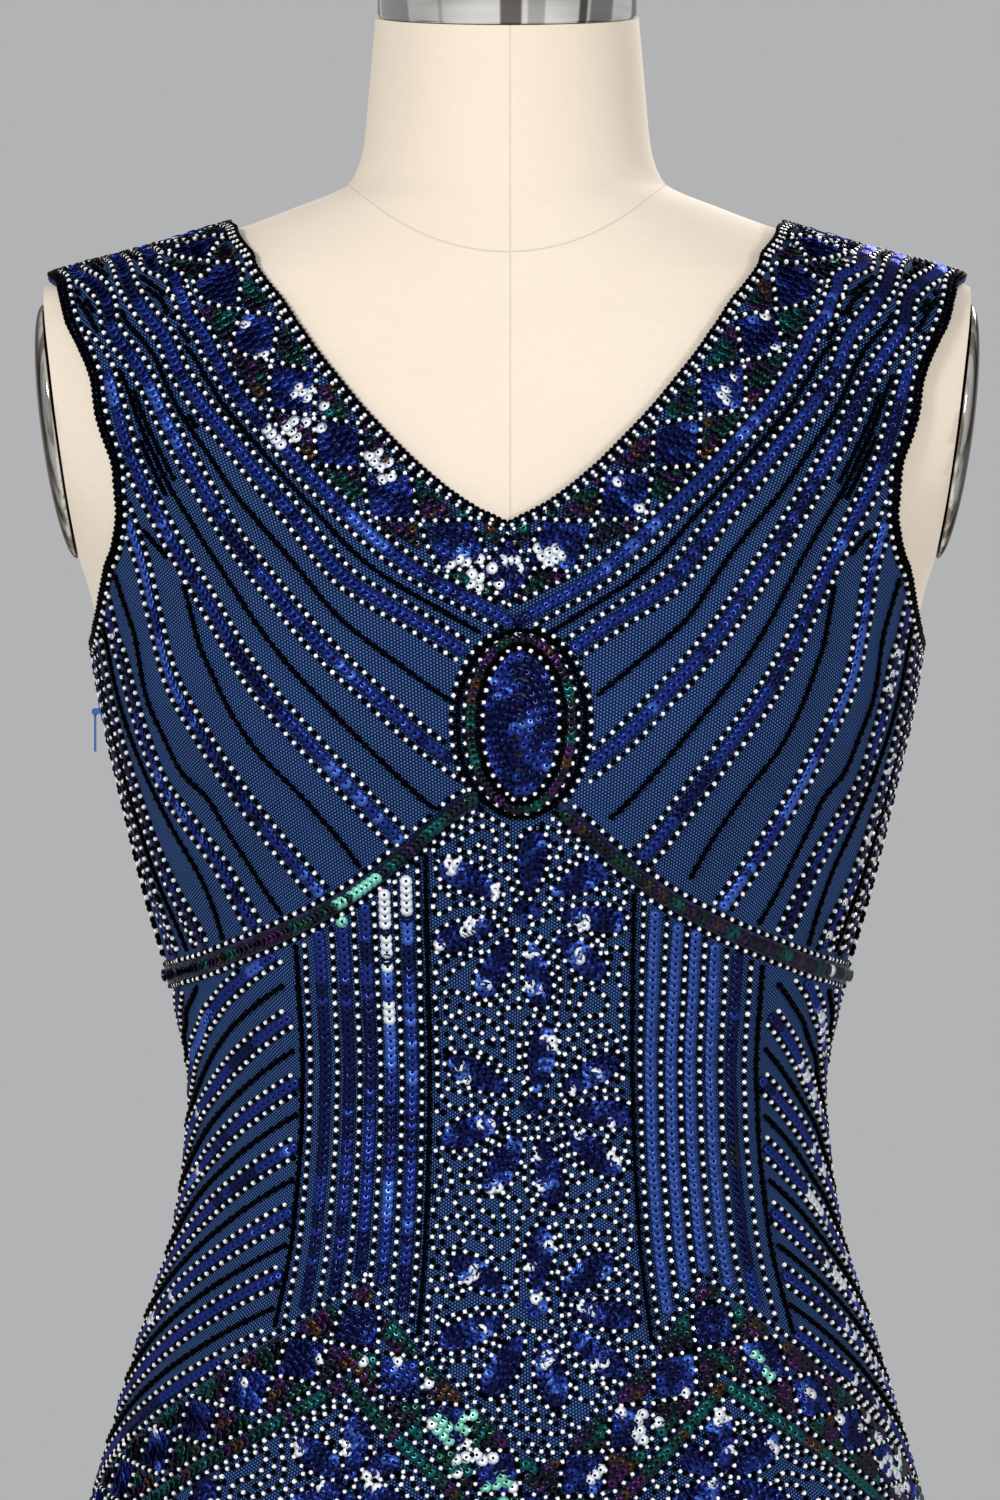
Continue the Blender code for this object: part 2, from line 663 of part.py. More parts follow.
def make_zip():
    """The slider with its two ears and pin, and the pull tab, whose eye turns on the pin."""
    place, out, pin_axis = zip_frame()
    matrix = framed(place, out, pin_axis)
    body_top = SLIDER_SEAT + SLIDER_THICKNESS
    pin_out = body_top + ZIP_EYE_RADIUS + SEAM_GAP
    body = box_mesh(
        (SLIDER_SEAT, -SLIDER_HALF_WIDTH, -SLIDER_HALF_HEIGHT),
        (body_top, SLIDER_HALF_WIDTH, SLIDER_HALF_HEIGHT),
    )
    slider = placed("zip_slider", body, matrix, "blue_enamel")
    ear_inner = ZIP_EYE_HALF_WIDTH + SEAM_GAP
    for side, name in ((-1, "slider_ear_front"), (1, "slider_ear_rear")):
        low, high = sorted((side * ear_inner, side * SLIDER_HALF_WIDTH))
        ear = box_mesh(
            (body_top - EAR_ROOT, low, -EAR_HALF_HEIGHT),
            (pin_out + EAR_RISE, high, EAR_HALF_HEIGHT),
        )
        boolean(slider, placed(name, ear, matrix), "UNION")
    rod = rod_mesh(ZIP_PIN_RADIUS, SLIDER_HALF_WIDTH - PIN_INSET, pin_out)
    boolean(slider, placed("slider_pin", rod, matrix), "UNION")

    level_out = Vector((out.x, out.y, 0)).normalized()
    hanging = framed(place + out * pin_out, level_out, pin_axis)
    tab = placed("zip_pull", tab_mesh(), hanging, "blue_enamel")
    eye = rod_mesh(ZIP_EYE_RADIUS, ZIP_EYE_HALF_WIDTH, 0, 16)
    hole = rod_mesh(ZIP_EYE_HOLE_RADIUS, 2 * ZIP_EYE_HALF_WIDTH, 0, 12)
    boolean(tab, placed("pull_eye", eye, hanging), "UNION")
    boolean(tab, placed("pull_hole", hole, hanging), "DIFFERENCE")


# ---- The dress form and its stand ----
def ring_heights():
    """The heights of the form's sections, with one more half way between those far apart."""
    heights = [section[0] for section in FORM_SECTIONS]
    between = [
        (low + high) / 2
        for low, high in zip(heights, heights[1:])
        if high - low > FORM_RING_STEP
    ]
    return np.sort(heights + between)


def arm_cut_matrix(side):
    """The middle of an armhole's flat cut, with local X square to it."""
    x, y, z = ARM_CUT_MIDDLE
    return Matrix.Translation((side * x, y, z)) @ Matrix.Rotation(side * ARM_CUT_TILT, 4, "Y")


def make_form_body():
    """The padded body: rings of the skin from the hips to the neck, cut flat at the armholes."""
    angles = np.linspace(-math.pi, math.pi, FORM_SIDES, endpoint=False)
    points = surface(angles[None, :], ring_heights()[:, None], FORM_SECTIONS)
    skin = bmesh.new()
    rings = [[skin.verts.new(place) for place in ring] for ring in points]
    for lower, upper in zip(rings, rings[1:]):
        for i in range(FORM_SIDES):
            j = (i + 1) % FORM_SIDES
            skin.faces.new((lower[i], lower[j], upper[j], upper[i]))
    for ring in (rings[0][::-1], rings[-1]):
        bmesh.ops.contextual_create(skin, geom=ring)
    bmesh.ops.recalc_face_normals(skin, faces=skin.faces)
    body = add_object("form_body", mesh_from(skin), "form_cover")
    depth, width, height = ARM_CUT_BLOCK
    for side, name in ((-1, "arm_cut_left"), (1, "arm_cut_right")):
        low, high = sorted((0, side * depth))
        block = box_mesh((low, -width / 2, -height / 2), (high, width / 2, height / 2))
        boolean(body, placed(name, block, arm_cut_matrix(side)), "DIFFERENCE")


def make_arm_plates():
    """Domed oval plates that close the form's armholes."""
    for side, name in ((-1, "arm_plate_left"), (1, "arm_plate_right")):
        plate = bmesh.new()
        bmesh.ops.create_uvsphere(plate, u_segments=28, v_segments=8, radius=1)
        for vertex in plate.verts:
            across, up, out = vertex.co
            thickness = ARM_PLATE_DOME if out > 0 else ARM_PLATE_RIM
            breadth = 1 + ARM_PLATE_TAPER * up
            vertex.co = (
                side * (SEAM_GAP + ARM_PLATE_RIM + out * thickness),
                across * ARM_PLATE_HALF_DEPTH * breadth,
                up * ARM_PLATE_HALF_HEIGHT,
            )
        bmesh.ops.transform(plate, verts=plate.verts, matrix=arm_cut_matrix(side))
        bmesh.ops.recalc_face_normals(plate, faces=plate.faces)
        add_object(name, mesh_from(plate), "chrome")


def turned(name, profile, material, steps=32):
    """A solid turned about local Z. The profile runs from the axis at the top, down the outside, to the axis."""
    shape = bmesh.new()
    vertices = [shape.verts.new((radius, 0, height)) for radius, height in profile]
    for a, b in zip(vertices, vertices[1:]):
        shape.edges.new((a, b))
    mesh = mesh_from(shape)
    obj = bpy.data.objects.new(name, mesh)
    parts.objects.link(obj)
    mesh.materials.append(materials[material])
    screw = obj.modifiers.new("turned", "SCREW")
    screw.steps = screw.render_steps = steps
    screw.use_merge_vertices = True
    screw.merge_threshold = 0.00005
    screw.use_smooth_shade = True
    return obj


def make_neck_cap():
    """The steel cap on the neck's tilted cut: a short drum, a shallow dome and a knob."""
    profile = [
        (0.0, CAP_DRUM_HEIGHT + 0.030),
        (0.007, CAP_DRUM_HEIGHT + 0.0285),
        (0.0105, CAP_DRUM_HEIGHT + 0.024),
        (0.0105, CAP_DRUM_HEIGHT + 0.019),
        (0.006, CAP_DRUM_HEIGHT + 0.013),
        (0.007, CAP_DRUM_HEIGHT + 0.0095),
        (0.030, CAP_DRUM_HEIGHT + 0.0065),
        (0.048, CAP_DRUM_HEIGHT + 0.0025),
        (CAP_RADIUS - 0.0008, CAP_DRUM_HEIGHT + 0.0005),
        (CAP_RADIUS, CAP_DRUM_HEIGHT - 0.0010),
        (CAP_RADIUS, 0.0012),
        (CAP_RADIUS - 0.0008, 0.0),
        (0.0, 0.0),
    ]
    cap = turned("neck_cap", profile, "brushed_steel")
    _, _, front, back, _, _ = FORM_SECTIONS[-1]
    middle_y = (back - front) / 2
    tilt = math.atan(NECK_TILT)
    lift = Vector((0, -math.sin(tilt), math.cos(tilt))) * SEAM_GAP * 1.5
    cap.location = Vector((0, middle_y, NECK_TOP_HEIGHT + NECK_TILT * middle_y)) + lift
    cap.rotation_euler = (tilt, 0, 0)


def make_stand():
    """The flange under the form, the pole that carries it and the low round base."""
    flange_top = FORM_BOTTOM_HEIGHT - SEAM_GAP
    flange_bottom = flange_top - FLANGE_HEIGHT
    flange = [
        (0.0, flange_top),
        (FLANGE_RADIUS - 0.001, flange_top),
        (FLANGE_RADIUS, flange_top - 0.001),
        (FLANGE_RADIUS, flange_top - 0.004),
        (POLE_RADIUS + 0.008, flange_bottom),
        (0.0, flange_bottom),
    ]
    pole = [
        (0.0, flange_bottom - SEAM_GAP),
        (POLE_RADIUS, flange_bottom - SEAM_GAP),
        (POLE_RADIUS, BASE_HEIGHT + SEAM_GAP),
        (0.0, BASE_HEIGHT + SEAM_GAP),
    ]
    base = [
        (0.0, BASE_HEIGHT),
        (POLE_RADIUS + 0.007, BASE_HEIGHT),
        (POLE_RADIUS + 0.0095, BASE_HEIGHT - 0.0025),
        (POLE_RADIUS + 0.012, BASE_HEIGHT - 0.0145),
        (POLE_RADIUS + 0.020, BASE_HEIGHT - 0.0190),
        (BASE_RADIUS - 0.062, 0.0105),
        (BASE_RADIUS - 0.006, 0.0080),
        (BASE_RADIUS - 0.001, 0.0060),
        (BASE_RADIUS, 0.0040),
        (BASE_RADIUS - 0.0015, 0.0),
        (0.0, 0.0),
    ]
    turned("pole_flange", flange, "brushed_steel")
    turned("pole", pole, "brushed_steel", 24)
    turned("base", base, "stand_paint", 36)


def main():
    make_form_body()
    make_arm_plates()
    make_neck_cap()
    make_stand()
    make_bodice()
    make_skirt()
    make_underbust_band()
    make_oval_motif()
    make_zip()


for old in list(bpy.data.objects):
    bpy.data.objects.remove(old, do_unlink=True)
parts = bpy.data.collections.new("flapper_dress_on_form")
helpers = bpy.data.collections.new("cutters")
bpy.context.scene.collection.children.link(parts)
bpy.context.scene.collection.children.link(helpers)
PROFILE = profile_lengths()
materials = {name: make_material(name) for name in COLOURS}
main()
bpy.context.view_layer.update()
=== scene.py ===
# A beaded evening dress on its dress form: cloth, net, sequins, beads, form, stand, light and camera.
# Metres, +Z up, the dress faces -Y. Angles run round the body from the middle of the front, +X side positive.
import math

import bmesh
import bpy
import numpy as np
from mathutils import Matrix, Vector
from mathutils.geometry import delaunay_2d_cdt


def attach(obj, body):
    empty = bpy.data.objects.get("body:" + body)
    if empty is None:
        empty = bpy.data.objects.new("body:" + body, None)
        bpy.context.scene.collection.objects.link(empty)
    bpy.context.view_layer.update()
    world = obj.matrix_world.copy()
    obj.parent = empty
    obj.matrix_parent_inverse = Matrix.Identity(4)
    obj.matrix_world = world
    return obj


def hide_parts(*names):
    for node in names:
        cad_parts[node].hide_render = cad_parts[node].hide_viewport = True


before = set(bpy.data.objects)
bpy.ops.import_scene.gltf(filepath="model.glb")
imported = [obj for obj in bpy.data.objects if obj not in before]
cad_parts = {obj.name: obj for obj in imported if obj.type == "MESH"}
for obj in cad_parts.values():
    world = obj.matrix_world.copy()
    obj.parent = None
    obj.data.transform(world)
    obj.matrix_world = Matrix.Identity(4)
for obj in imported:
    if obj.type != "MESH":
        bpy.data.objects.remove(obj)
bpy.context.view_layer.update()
dice = np.random.default_rng(23)  # every loose tilt and tint comes from here
wholeBody = "dress_and_form"
print("frame loaded")

# The skin that carries the dress: level sections of the form and of the dress.
formSections = np.array([  # height, half width, depth in front, depth behind, fullness, tilt
    (0.715, 0.1580, 0.097, 0.104, 0.10, 0), (0.760, 0.1660, 0.106, 0.116, 0.10, 0),
    (0.830, 0.1700, 0.113, 0.126, 0.10, 0), (0.870, 0.1640, 0.113, 0.124, 0.10, 0),
    (0.930, 0.1465, 0.108, 0.110, 0.12, 0), (0.980, 0.1316, 0.100, 0.094, 0.14, 0),
    (1.030, 0.1262, 0.096, 0.084, 0.15, 0), (1.080, 0.1355, 0.101, 0.086, 0.15, 0),
    (1.116, 0.1455, 0.105, 0.091, 0.14, 0), (1.153, 0.1544, 0.109, 0.096, 0.12, 0),
    (1.190, 0.1627, 0.113, 0.101, 0.10, 0), (1.223, 0.1682, 0.113, 0.106, 0.08, 0),
    (1.243, 0.1735, 0.111, 0.108, 0.06, 0), (1.258, 0.1810, 0.109, 0.108, 0.04, 0),
    (1.280, 0.1955, 0.104, 0.108, 0.00, 0), (1.310, 0.2085, 0.096, 0.105, -0.05, 0),
    (1.338, 0.2105, 0.086, 0.099, -0.10, 0), (1.352, 0.2020, 0.080, 0.093, -0.15, 0),
    (1.3617, 0.1851, 0.076, 0.089, -0.18, 0), (1.3680, 0.1625, 0.0735, 0.0865, -0.20, 0),
    (1.3742, 0.1398, 0.071, 0.083, -0.20, 0), (1.3816, 0.1156, 0.068, 0.079, -0.18, 0),
    (1.3908, 0.0904, 0.065, 0.073, -0.12, 0.02), (1.4031, 0.0640, 0.062, 0.066, -0.05, 0.06),
    (1.4180, 0.0588, 0.060, 0.060, 0.00, 0.09), (1.4400, 0.0567, 0.059, 0.055, 0.00, 0.12),
    (1.4705, 0.0540, 0.058, 0.047, 0.00, 0.176),
])
skirtSections = np.array([  # below the hips the skirt falls free of the form
    (0.400, 0.2020, 0.144, 0.150, 0.04, 0), (0.600, 0.1890, 0.131, 0.139, 0.06, 0),
    (0.760, 0.1790, 0.119, 0.131, 0.09, 0), (0.830, 0.1738, 0.1158, 0.1292, 0.10, 0),
])
dressSections = np.vstack([skirtSections, formSections[formSections[:, 0] > 0.85]])
bust = {
    "apexX": 0.082, "apexHeight": 1.166, "reachX": 0.060, "reachUp": 0.064, "reachDown": 0.050,
    "depth": 0.021, "sideCosine": 0.45,
}
folds = {  # degrees round the body, share of the full depth, half width in degrees
    "rows": ((-152, 0.8, 13), (-118, 1.0, 11), (-84, 0.7, 12), (-57, 0.9, 10), (-31, 0.6, 12),
             (4, 0.8, 13), (36, 1.0, 11), (63, 0.7, 10), (95, 1.0, 12), (128, 0.6, 11), (167, 0.9, 12)),
    "depth": 0.0065, "mean": 0.25, "startHeight": 0.860, "hemHeight": 0.420,
}
cloth = {
    "clearance": 0.0014,  # form to the inside of the cloth
    "thickness": 0.0016,  # net and lining together
    "seamHalfGap": 0.00022,
    "sideSeam": math.radians(87),
    "shoulder": math.radians(90),
    "flatRadius": 0.15,  # metres round the body for a radian, where a panel is laid out flat
    "hemHeight": 0.420,
}
clothOutside = cloth["clearance"] + cloth["thickness"]


def smoothValue(at, knots, values):
    # Monotone cubic Hermite: between two knots the cubic that meets both values with the harmonic mean of
    # the neighbouring slopes, so it never overshoots the table.
    knots, values = np.asarray(knots, float), np.asarray(values, float)
    at = np.clip(np.asarray(at, float), knots[0], knots[-1])
    steps = np.diff(knots)
    rises = np.diff(values) / steps
    slopes = np.zeros(len(knots))
    sameWay = rises[:-1] * rises[1:] > 0
    weightA, weightB = 2 * steps[1:] + steps[:-1], steps[1:] + 2 * steps[:-1]
    low, high = np.where(sameWay, rises[:-1], 1), np.where(sameWay, rises[1:], 1)
    slopes[1:-1] = np.where(sameWay, (weightA + weightB) / (weightA / low + weightB / high), 0)
    slopes[0], slopes[-1] = rises[0], rises[-1]
    cell = np.clip(np.searchsorted(knots, at, side="right") - 1, 0, len(steps) - 1)
    step = steps[cell]
    share = (at - knots[cell]) / step
    rest = 1 - share
    return (values[cell] * (1 + 2 * share) * rest**2 + slopes[cell] * step * share * rest**2
            + values[cell + 1] * (3 - 2 * share) * share**2 - slopes[cell + 1] * step * share**2 * rest)


def ramp(value, start, end):
    # 0 at start and 1 at end, with level ends: 3s^2 - 2s^3.
    share = np.clip((np.asarray(value, float) - start) / (end - start), 0, 1)
    return share * share * (3 - 2 * share)


def bustDepth(x, height):
    # A round hill on each side: depth times e to minus the squared distance from its apex in reaches.
    reach = np.where(height > bust["apexHeight"], bust["reachUp"], bust["reachDown"])
    across = (np.abs(x) - bust["apexX"]) / bust["reachX"]
    return bust["depth"] * np.exp(-(across**2) - ((height - bust["apexHeight"]) / reach) ** 2)


def turnedFrom(middle, angle):
    # An angle counted from a middle, between minus and plus half a turn.
    return (angle - middle + math.pi) % (2 * math.pi) - math.pi


def foldDepth(angle, height):
    # The sum of one bell curve for each fold, less its mean, growing from nothing at the hips to the hem.
    total = np.zeros_like(angle)
    for middle, depth, reach in folds["rows"]:
        away = turnedFrom(math.radians(middle), angle)
        total = total + depth * np.exp(-((away / math.radians(reach)) ** 2))
    grown = ramp(height, folds["startHeight"], folds["hemHeight"])
    return folds["depth"] * (total - folds["mean"]) * grown


def surface(angle, height, table, folded=False):
    # x = half width times sine; y = minus (front or back depth plus bust) times cosine, squared a little at
    # the corners by its fullness; z = height plus tilt times y.
    angle, height = np.broadcast_arrays(np.asarray(angle, float), np.asarray(height, float))
    halfWidth, front, back, fullness, tilt = (
        smoothValue(height, table[:, 0], table[:, i]) for i in range(1, 6))
    sine, cosine = np.sin(angle), np.cos(angle)
    x = halfWidth * sine
    swell = bustDepth(x, height) * ramp(cosine, 0, bust["sideCosine"])
    y = -(np.where(cosine > 0, front, back) + swell) * cosine * (1 + fullness * sine**2)
    if folded:
        fold = foldDepth(angle, height)
        x, y = x + fold * sine, y - fold * cosine
    return np.stack([x, y, height + tilt * y], axis=-1)


def unit(vectors):
    return vectors / np.maximum(np.linalg.norm(vectors, axis=-1, keepdims=True), 1e-12)


def outward(angle, height, table, folded=False):
    # The cross product of small steps round the body and up it.
    angle, height = np.asarray(angle, float), np.asarray(height, float)
    around = surface(angle + 1e-3, height, table, folded) - surface(angle - 1e-3, height, table, folded)
    up = surface(angle, height + 2e-4, table, folded) - surface(angle, height - 2e-4, table, folded)
    return unit(np.cross(around, up))


# Creases: degrees round the body, height, turn from upright in degrees, half length, half width, depth.
# The small pulls at the waist and under the bust fan out from the seam; the long ones run down the hips.
creases = (
    (-63, 1.070, 12, 0.017, 0.0045, 0.0011), (-72, 1.062, 20, 0.021, 0.0050, 0.0012),
    (-79, 1.052, 26, 0.016, 0.0042, 0.0009), (-55, 1.064, 4, 0.013, 0.0040, 0.0008),
    (61, 1.071, -10, 0.015, 0.0046, 0.0010), (69, 1.060, -18, 0.022, 0.0050, 0.0012),
    (77, 1.054, -27, 0.017, 0.0044, 0.0011), (52, 1.068, -6, 0.012, 0.0040, 0.0007),
    (-70, 1.094, -16, 0.015, 0.0050, 0.0009), (-58, 1.104, -24, 0.019, 0.0055, 0.0008),
    (66, 1.096, 18, 0.016, 0.0052, 0.0009), (55, 1.106, 26, 0.020, 0.0056, 0.0008),
    (-76, 1.020, 78, 0.030, 0.0060, 0.0010), (-66, 1.004, 82, 0.024, 0.0065, -0.0008),
    (74, 1.017, -80, 0.028, 0.0060, 0.0010), (64, 1.000, -84, 0.025, 0.0065, -0.0008),
    (-48, 0.880, 8, 0.060, 0.0110, 0.0012), (50, 0.872, -6, 0.066, 0.0120, 0.0012),
    (-22, 0.780, 3, 0.090, 0.0130, 0.0014), (18, 0.760, -2, 0.100, 0.0140, 0.0013),
    (0, 0.640, 1, 0.120, 0.0150, 0.0015), (-74, 0.700, 4, 0.110, 0.0140, 0.0014),
    (78, 0.690, -5, 0.105, 0.0150, 0.0013), (-40, 0.560, -2, 0.090, 0.0130, 0.0012),
    (44, 0.580, 2, 0.095, 0.0130, 0.0014), (180, 1.030, 88, 0.034, 0.0070, 0.0012),
    (158, 1.012, 84, 0.028, 0.0070, 0.0010), (-156, 1.016, -85, 0.030, 0.0070, 0.0011),
    (112, 1.060, 20, 0.018, 0.0050, 0.0010), (-114, 1.058, -22, 0.020, 0.0050, 0.0011),
    (140, 0.760, 4, 0.110, 0.0140, 0.0013), (-138, 0.740, -3, 0.120, 0.0140, 0.0014),
    (172, 0.640, 2, 0.120, 0.0150, 0.0013), (-100, 0.600, 3, 0.100, 0.0130, 0.0012),
    (102, 0.620, -4, 0.110, 0.0140, 0.0013), (-62, 1.235, -28, 0.016, 0.0050, 0.0008),
    (62, 1.233, 30, 0.015, 0.0050, 0.0008), (-120, 1.262, 30, 0.020, 0.0060, 0.0009),
    (124, 1.258, -28, 0.018, 0.0060, 0.0009),
)
creaseLimits = (-0.0009, 0.0016)  # where creases cross, their sum stays between these


def creaseDepth(angle, height):
    # For each crease: depth times a bell across it times a bell along it, laid out flat round its middle.
    total = np.zeros(np.broadcast_shapes(np.shape(angle), np.shape(height)))
    for middle, middleHeight, turn, halfLength, halfWidth, depth in creases:
        across = turnedFrom(math.radians(middle), angle) * cloth["flatRadius"]
        up = height - middleHeight
        sine, cosine = math.sin(math.radians(turn)), math.cos(math.radians(turn))
        along, sideways = up * cosine + across * sine, across * cosine - up * sine
        total = total + depth * np.exp(-((sideways / halfWidth) ** 2) - (along / halfLength) ** 4)
    return np.clip(total, *creaseLimits)


def onDress(angle, height, lift):
    # The dress's skin, moved outwards by lift and the creases. Gives the points and their outward directions.
    normal = outward(angle, height, dressSections, True)
    away = (lift + creaseDepth(angle, height))[..., None]
    return surface(angle, height, dressSections, True) + away * normal, normal


def angleAt(x, height):
    return np.arcsin(np.clip(x / smoothValue(height, dressSections[:, 0], dressSections[:, 1]), -1, 1))


# Seams and edges of the dress: metres from the middle, and heights.
frontNeckline = ((0.1105, 1.3832), (0.1090, 1.3795), (0.1068, 1.3745), (0.1000, 1.3640), (0.0886, 1.3483),
                 (0.0714, 1.3234), (0.0511, 1.2990), (0.0330, 1.2806), (0.0150, 1.2664), (0.0000, 1.2588))
backNeckline = ((0.1105, 1.3832), (0.1090, 1.3795), (0.1055, 1.3725), (0.0900, 1.3500), (0.0600, 1.3270),
                (0.0280, 1.3150), (0.0000, 1.3115))
frontArmhole = ((0.1840, 1.3621), (0.1815, 1.3560), (0.1742, 1.3365), (0.1645, 1.3118), (0.1575, 1.2880),
                (0.1545, 1.2690), (0.1558, 1.2540), (0.1598, 1.2410))
backArmhole = ((0.1840, 1.3621), (0.1822, 1.3560), (0.1765, 1.3365), (0.1700, 1.3118), (0.1660, 1.2880),
               (0.1604, 1.2690), (0.1576, 1.2510))
frontUnderarm = ((70, 1.2355), (76, 1.2240), (82, 1.2172), (87, 1.2150))  # degrees, height
backUnderarm = ((111, 1.2360), (104, 1.2230), (95, 1.2165), (87, 1.2150))
underbustSeam = np.array([
    (0, 1.1545), (6, 1.1505), (11, 1.1410), (17, 1.1280), (25, 1.1139), (37.5, 1.0997), (48, 1.0917),
    (64, 1.0834), (87, 1.0790), (180, 1.0790)])


def underbustHeight(angle):
    # The arched seam under the bust, the same on both sides, level behind the side seams.
    return smoothValue(np.degrees(np.abs(turnedFrom(0.0, angle))), underbustSeam[:, 0], underbustSeam[:, 1])


def alongPath(path, shares):
    # Places at these shares of the real length of a smooth path through a few (angle, height) points.
    path = np.asarray(path, float)
    real = surface(path[:, 0], path[:, 1], dressSections)
    lengths = np.concatenate([[0], np.cumsum(np.linalg.norm(np.diff(real, axis=0), axis=1))])
    at = np.asarray(shares) * lengths[-1]
    return np.stack([smoothValue(at, lengths, path[:, i]) for i in (0, 1)], axis=1)


def edgePath(rows, fromBack=False):
    # An edge table as (angle, height), with its first row exactly on the shoulder's ridge.
    path = [(float(angleAt(x, z)), z) for x, z in rows]
    path[0] = (cloth["shoulder"], rows[0][1])
    return [(math.pi - angle, z) for angle, z in path] if fromBack else path


neckPaths = {"front": edgePath(frontNeckline), "back": edgePath(backNeckline, True)}
armPaths = {
    "front": edgePath(frontArmhole) + [(math.radians(a), z) for a, z in frontUnderarm],
    "back": edgePath(backArmhole, True) + [(math.radians(a), z) for a, z in backUnderarm],
}
profileHeights = np.linspace(0.9, 1.41, 800)
profileWidths = smoothValue(profileHeights, dressSections[:, 0], dressSections[:, 1])
profileLengths = np.concatenate([[0], np.cumsum(np.hypot(np.diff(profileHeights), np.diff(profileWidths)))])


def flattened(points):
    # Laid out flat: metres round the body, and metres up its side profile.
    return np.stack([points[..., 0] * cloth["flatRadius"],
                     np.interp(points[..., 1], profileHeights, profileLengths)], -1)


def unflattened(points):
    return np.stack([points[..., 0] / cloth["flatRadius"],
                     np.interp(points[..., 1], profileLengths, profileHeights)], -1)


# Meshes.
def newPiece(name, points, faces, finishes, body=wholeBody, smooth=True, slots=None, slotName=None, uv=None):
    # A mesh from an array of points and an array of equal-sided faces, at the origin, riding on its body.
    points, faces = np.asarray(points, float).reshape(-1, 3), np.asarray(faces, int)
    mesh = bpy.data.meshes.new(name)
    mesh.vertices.add(len(points))
    mesh.vertices.foreach_set("co", points.ravel())
    mesh.loops.add(faces.size)
    mesh.loops.foreach_set("vertex_index", faces.ravel())
    mesh.polygons.add(len(faces))
    mesh.polygons.foreach_set("loop_start", np.arange(len(faces)) * faces.shape[1])
    mesh.polygons.foreach_set("use_smooth", np.broadcast_to(smooth, len(faces)).astype(bool))
    if slots is not None:
        mesh.polygons.foreach_set("material_index", np.asarray(slots, int))
    if uv is not None:
        layer = mesh.uv_layers.new(name="cut")
        layer.data.foreach_set("uv", np.asarray(uv, float)[faces.ravel()].ravel())
    mesh.update(calc_edges=True)
    mesh.validate()
    for finish in finishes:
        mesh.materials.append(finish)
    piece = bpy.data.objects.new(name, mesh)
    bpy.context.scene.collection.objects.link(piece)
    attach(piece, body)
    return piece


def gridFaces(rows, columns, closed=False):
    # Quads of a grid of points, facing along columns x rows; closed joins the last column to the first.
    row = np.arange(rows - 1)[:, None] * columns
    column = np.arange(columns if closed else columns - 1)[None]
    right = (column + 1) % columns
    quads = np.stack([row + column, row + right, row + columns + right, row + columns + column], -1)
    return quads.reshape(-1, 4)


def closedRings(rings, start, end):
    # Rings joined by triangles, with a fan to one point before the first ring and one after the last.
    rows, steps = rings.shape[:2]
    points = np.vstack([rings.reshape(-1, 3), start, end])
    quads = gridFaces(rows, steps, True)
    here, ahead, last = np.arange(steps), (np.arange(steps) + 1) % steps, (rows - 1) * steps
    first = np.stack([ahead, here, np.full(steps, len(points) - 2)], -1)
    final = np.stack([last + here, last + ahead, np.full(steps, len(points) - 1)], -1)
    return points, np.vstack([quads[:, [0, 1, 2]], quads[:, [0, 2, 3]], first, final])


def fixedWinding(points, faces):
    # Turns all faces over if the signed volume is negative, so that they look outwards.
    a, b, c = (points[faces[:, i]] - points.mean(axis=0) for i in range(3))
    return faces if np.einsum("ij,ij->i", a, np.cross(b, c)).sum() > 0 else faces[:, ::-1]


def roundedProfile(rows, radius=0.0006, steps=3):
    # Each inner corner of a profile is cut by a short curve: a quadratic arc between points beside it.
    def towards(corner, end):
        gap = np.linalg.norm(end - corner)
        return corner + (end - corner) / max(gap, 1e-9) * min(radius, gap * 0.4)

    rows = np.asarray(rows, float)
    share = np.linspace(0, 1, steps)[:, None]
    out = [rows[0]]
    for before, corner, after in zip(rows, rows[1:-1], rows[2:]):
        out.extend((1 - share) ** 2 * towards(corner, before) + 2 * share * (1 - share) * corner
                   + share**2 * towards(corner, after))
    return np.vstack([out, rows[-1]])


def thicken(piece, thickness):
    wall = piece.modifiers.new("wall", "SOLIDIFY")
    wall.thickness = thickness
    wall.offset = 1
    wall.use_even_offset = True
    wall.use_quality_normals = True


# Shader maths.
class Value:
    # One output of a node; an expression on values adds its Math nodes.
    def __init__(self, finish, output):
        self.finish, self.output = finish, output

    def maths(self, operation, *others):
        return self.finish.node("ShaderNodeMath", {"operation": operation}, [self, *others])

    def __add__(self, other):
        return self.maths("ADD", other)

    def __sub__(self, other):
        return self.maths("SUBTRACT", other)

    def __rsub__(self, other):
        return self.finish.node("ShaderNodeMath", {"operation": "SUBTRACT"}, [other, self])

    def __mul__(self, other):
        return self.maths("MULTIPLY", other)

    def __truediv__(self, other):
        return self.maths("DIVIDE", other)

    __radd__, __rmul__ = __add__, __mul__

    def between(self, low, high):
        # 0 at low, 1 at high, smooth.
        return self.finish.node("ShaderNodeMapRange", {"interpolation_type": "SMOOTHSTEP"},
                                {"Value": self, "From Min": low, "From Max": high})


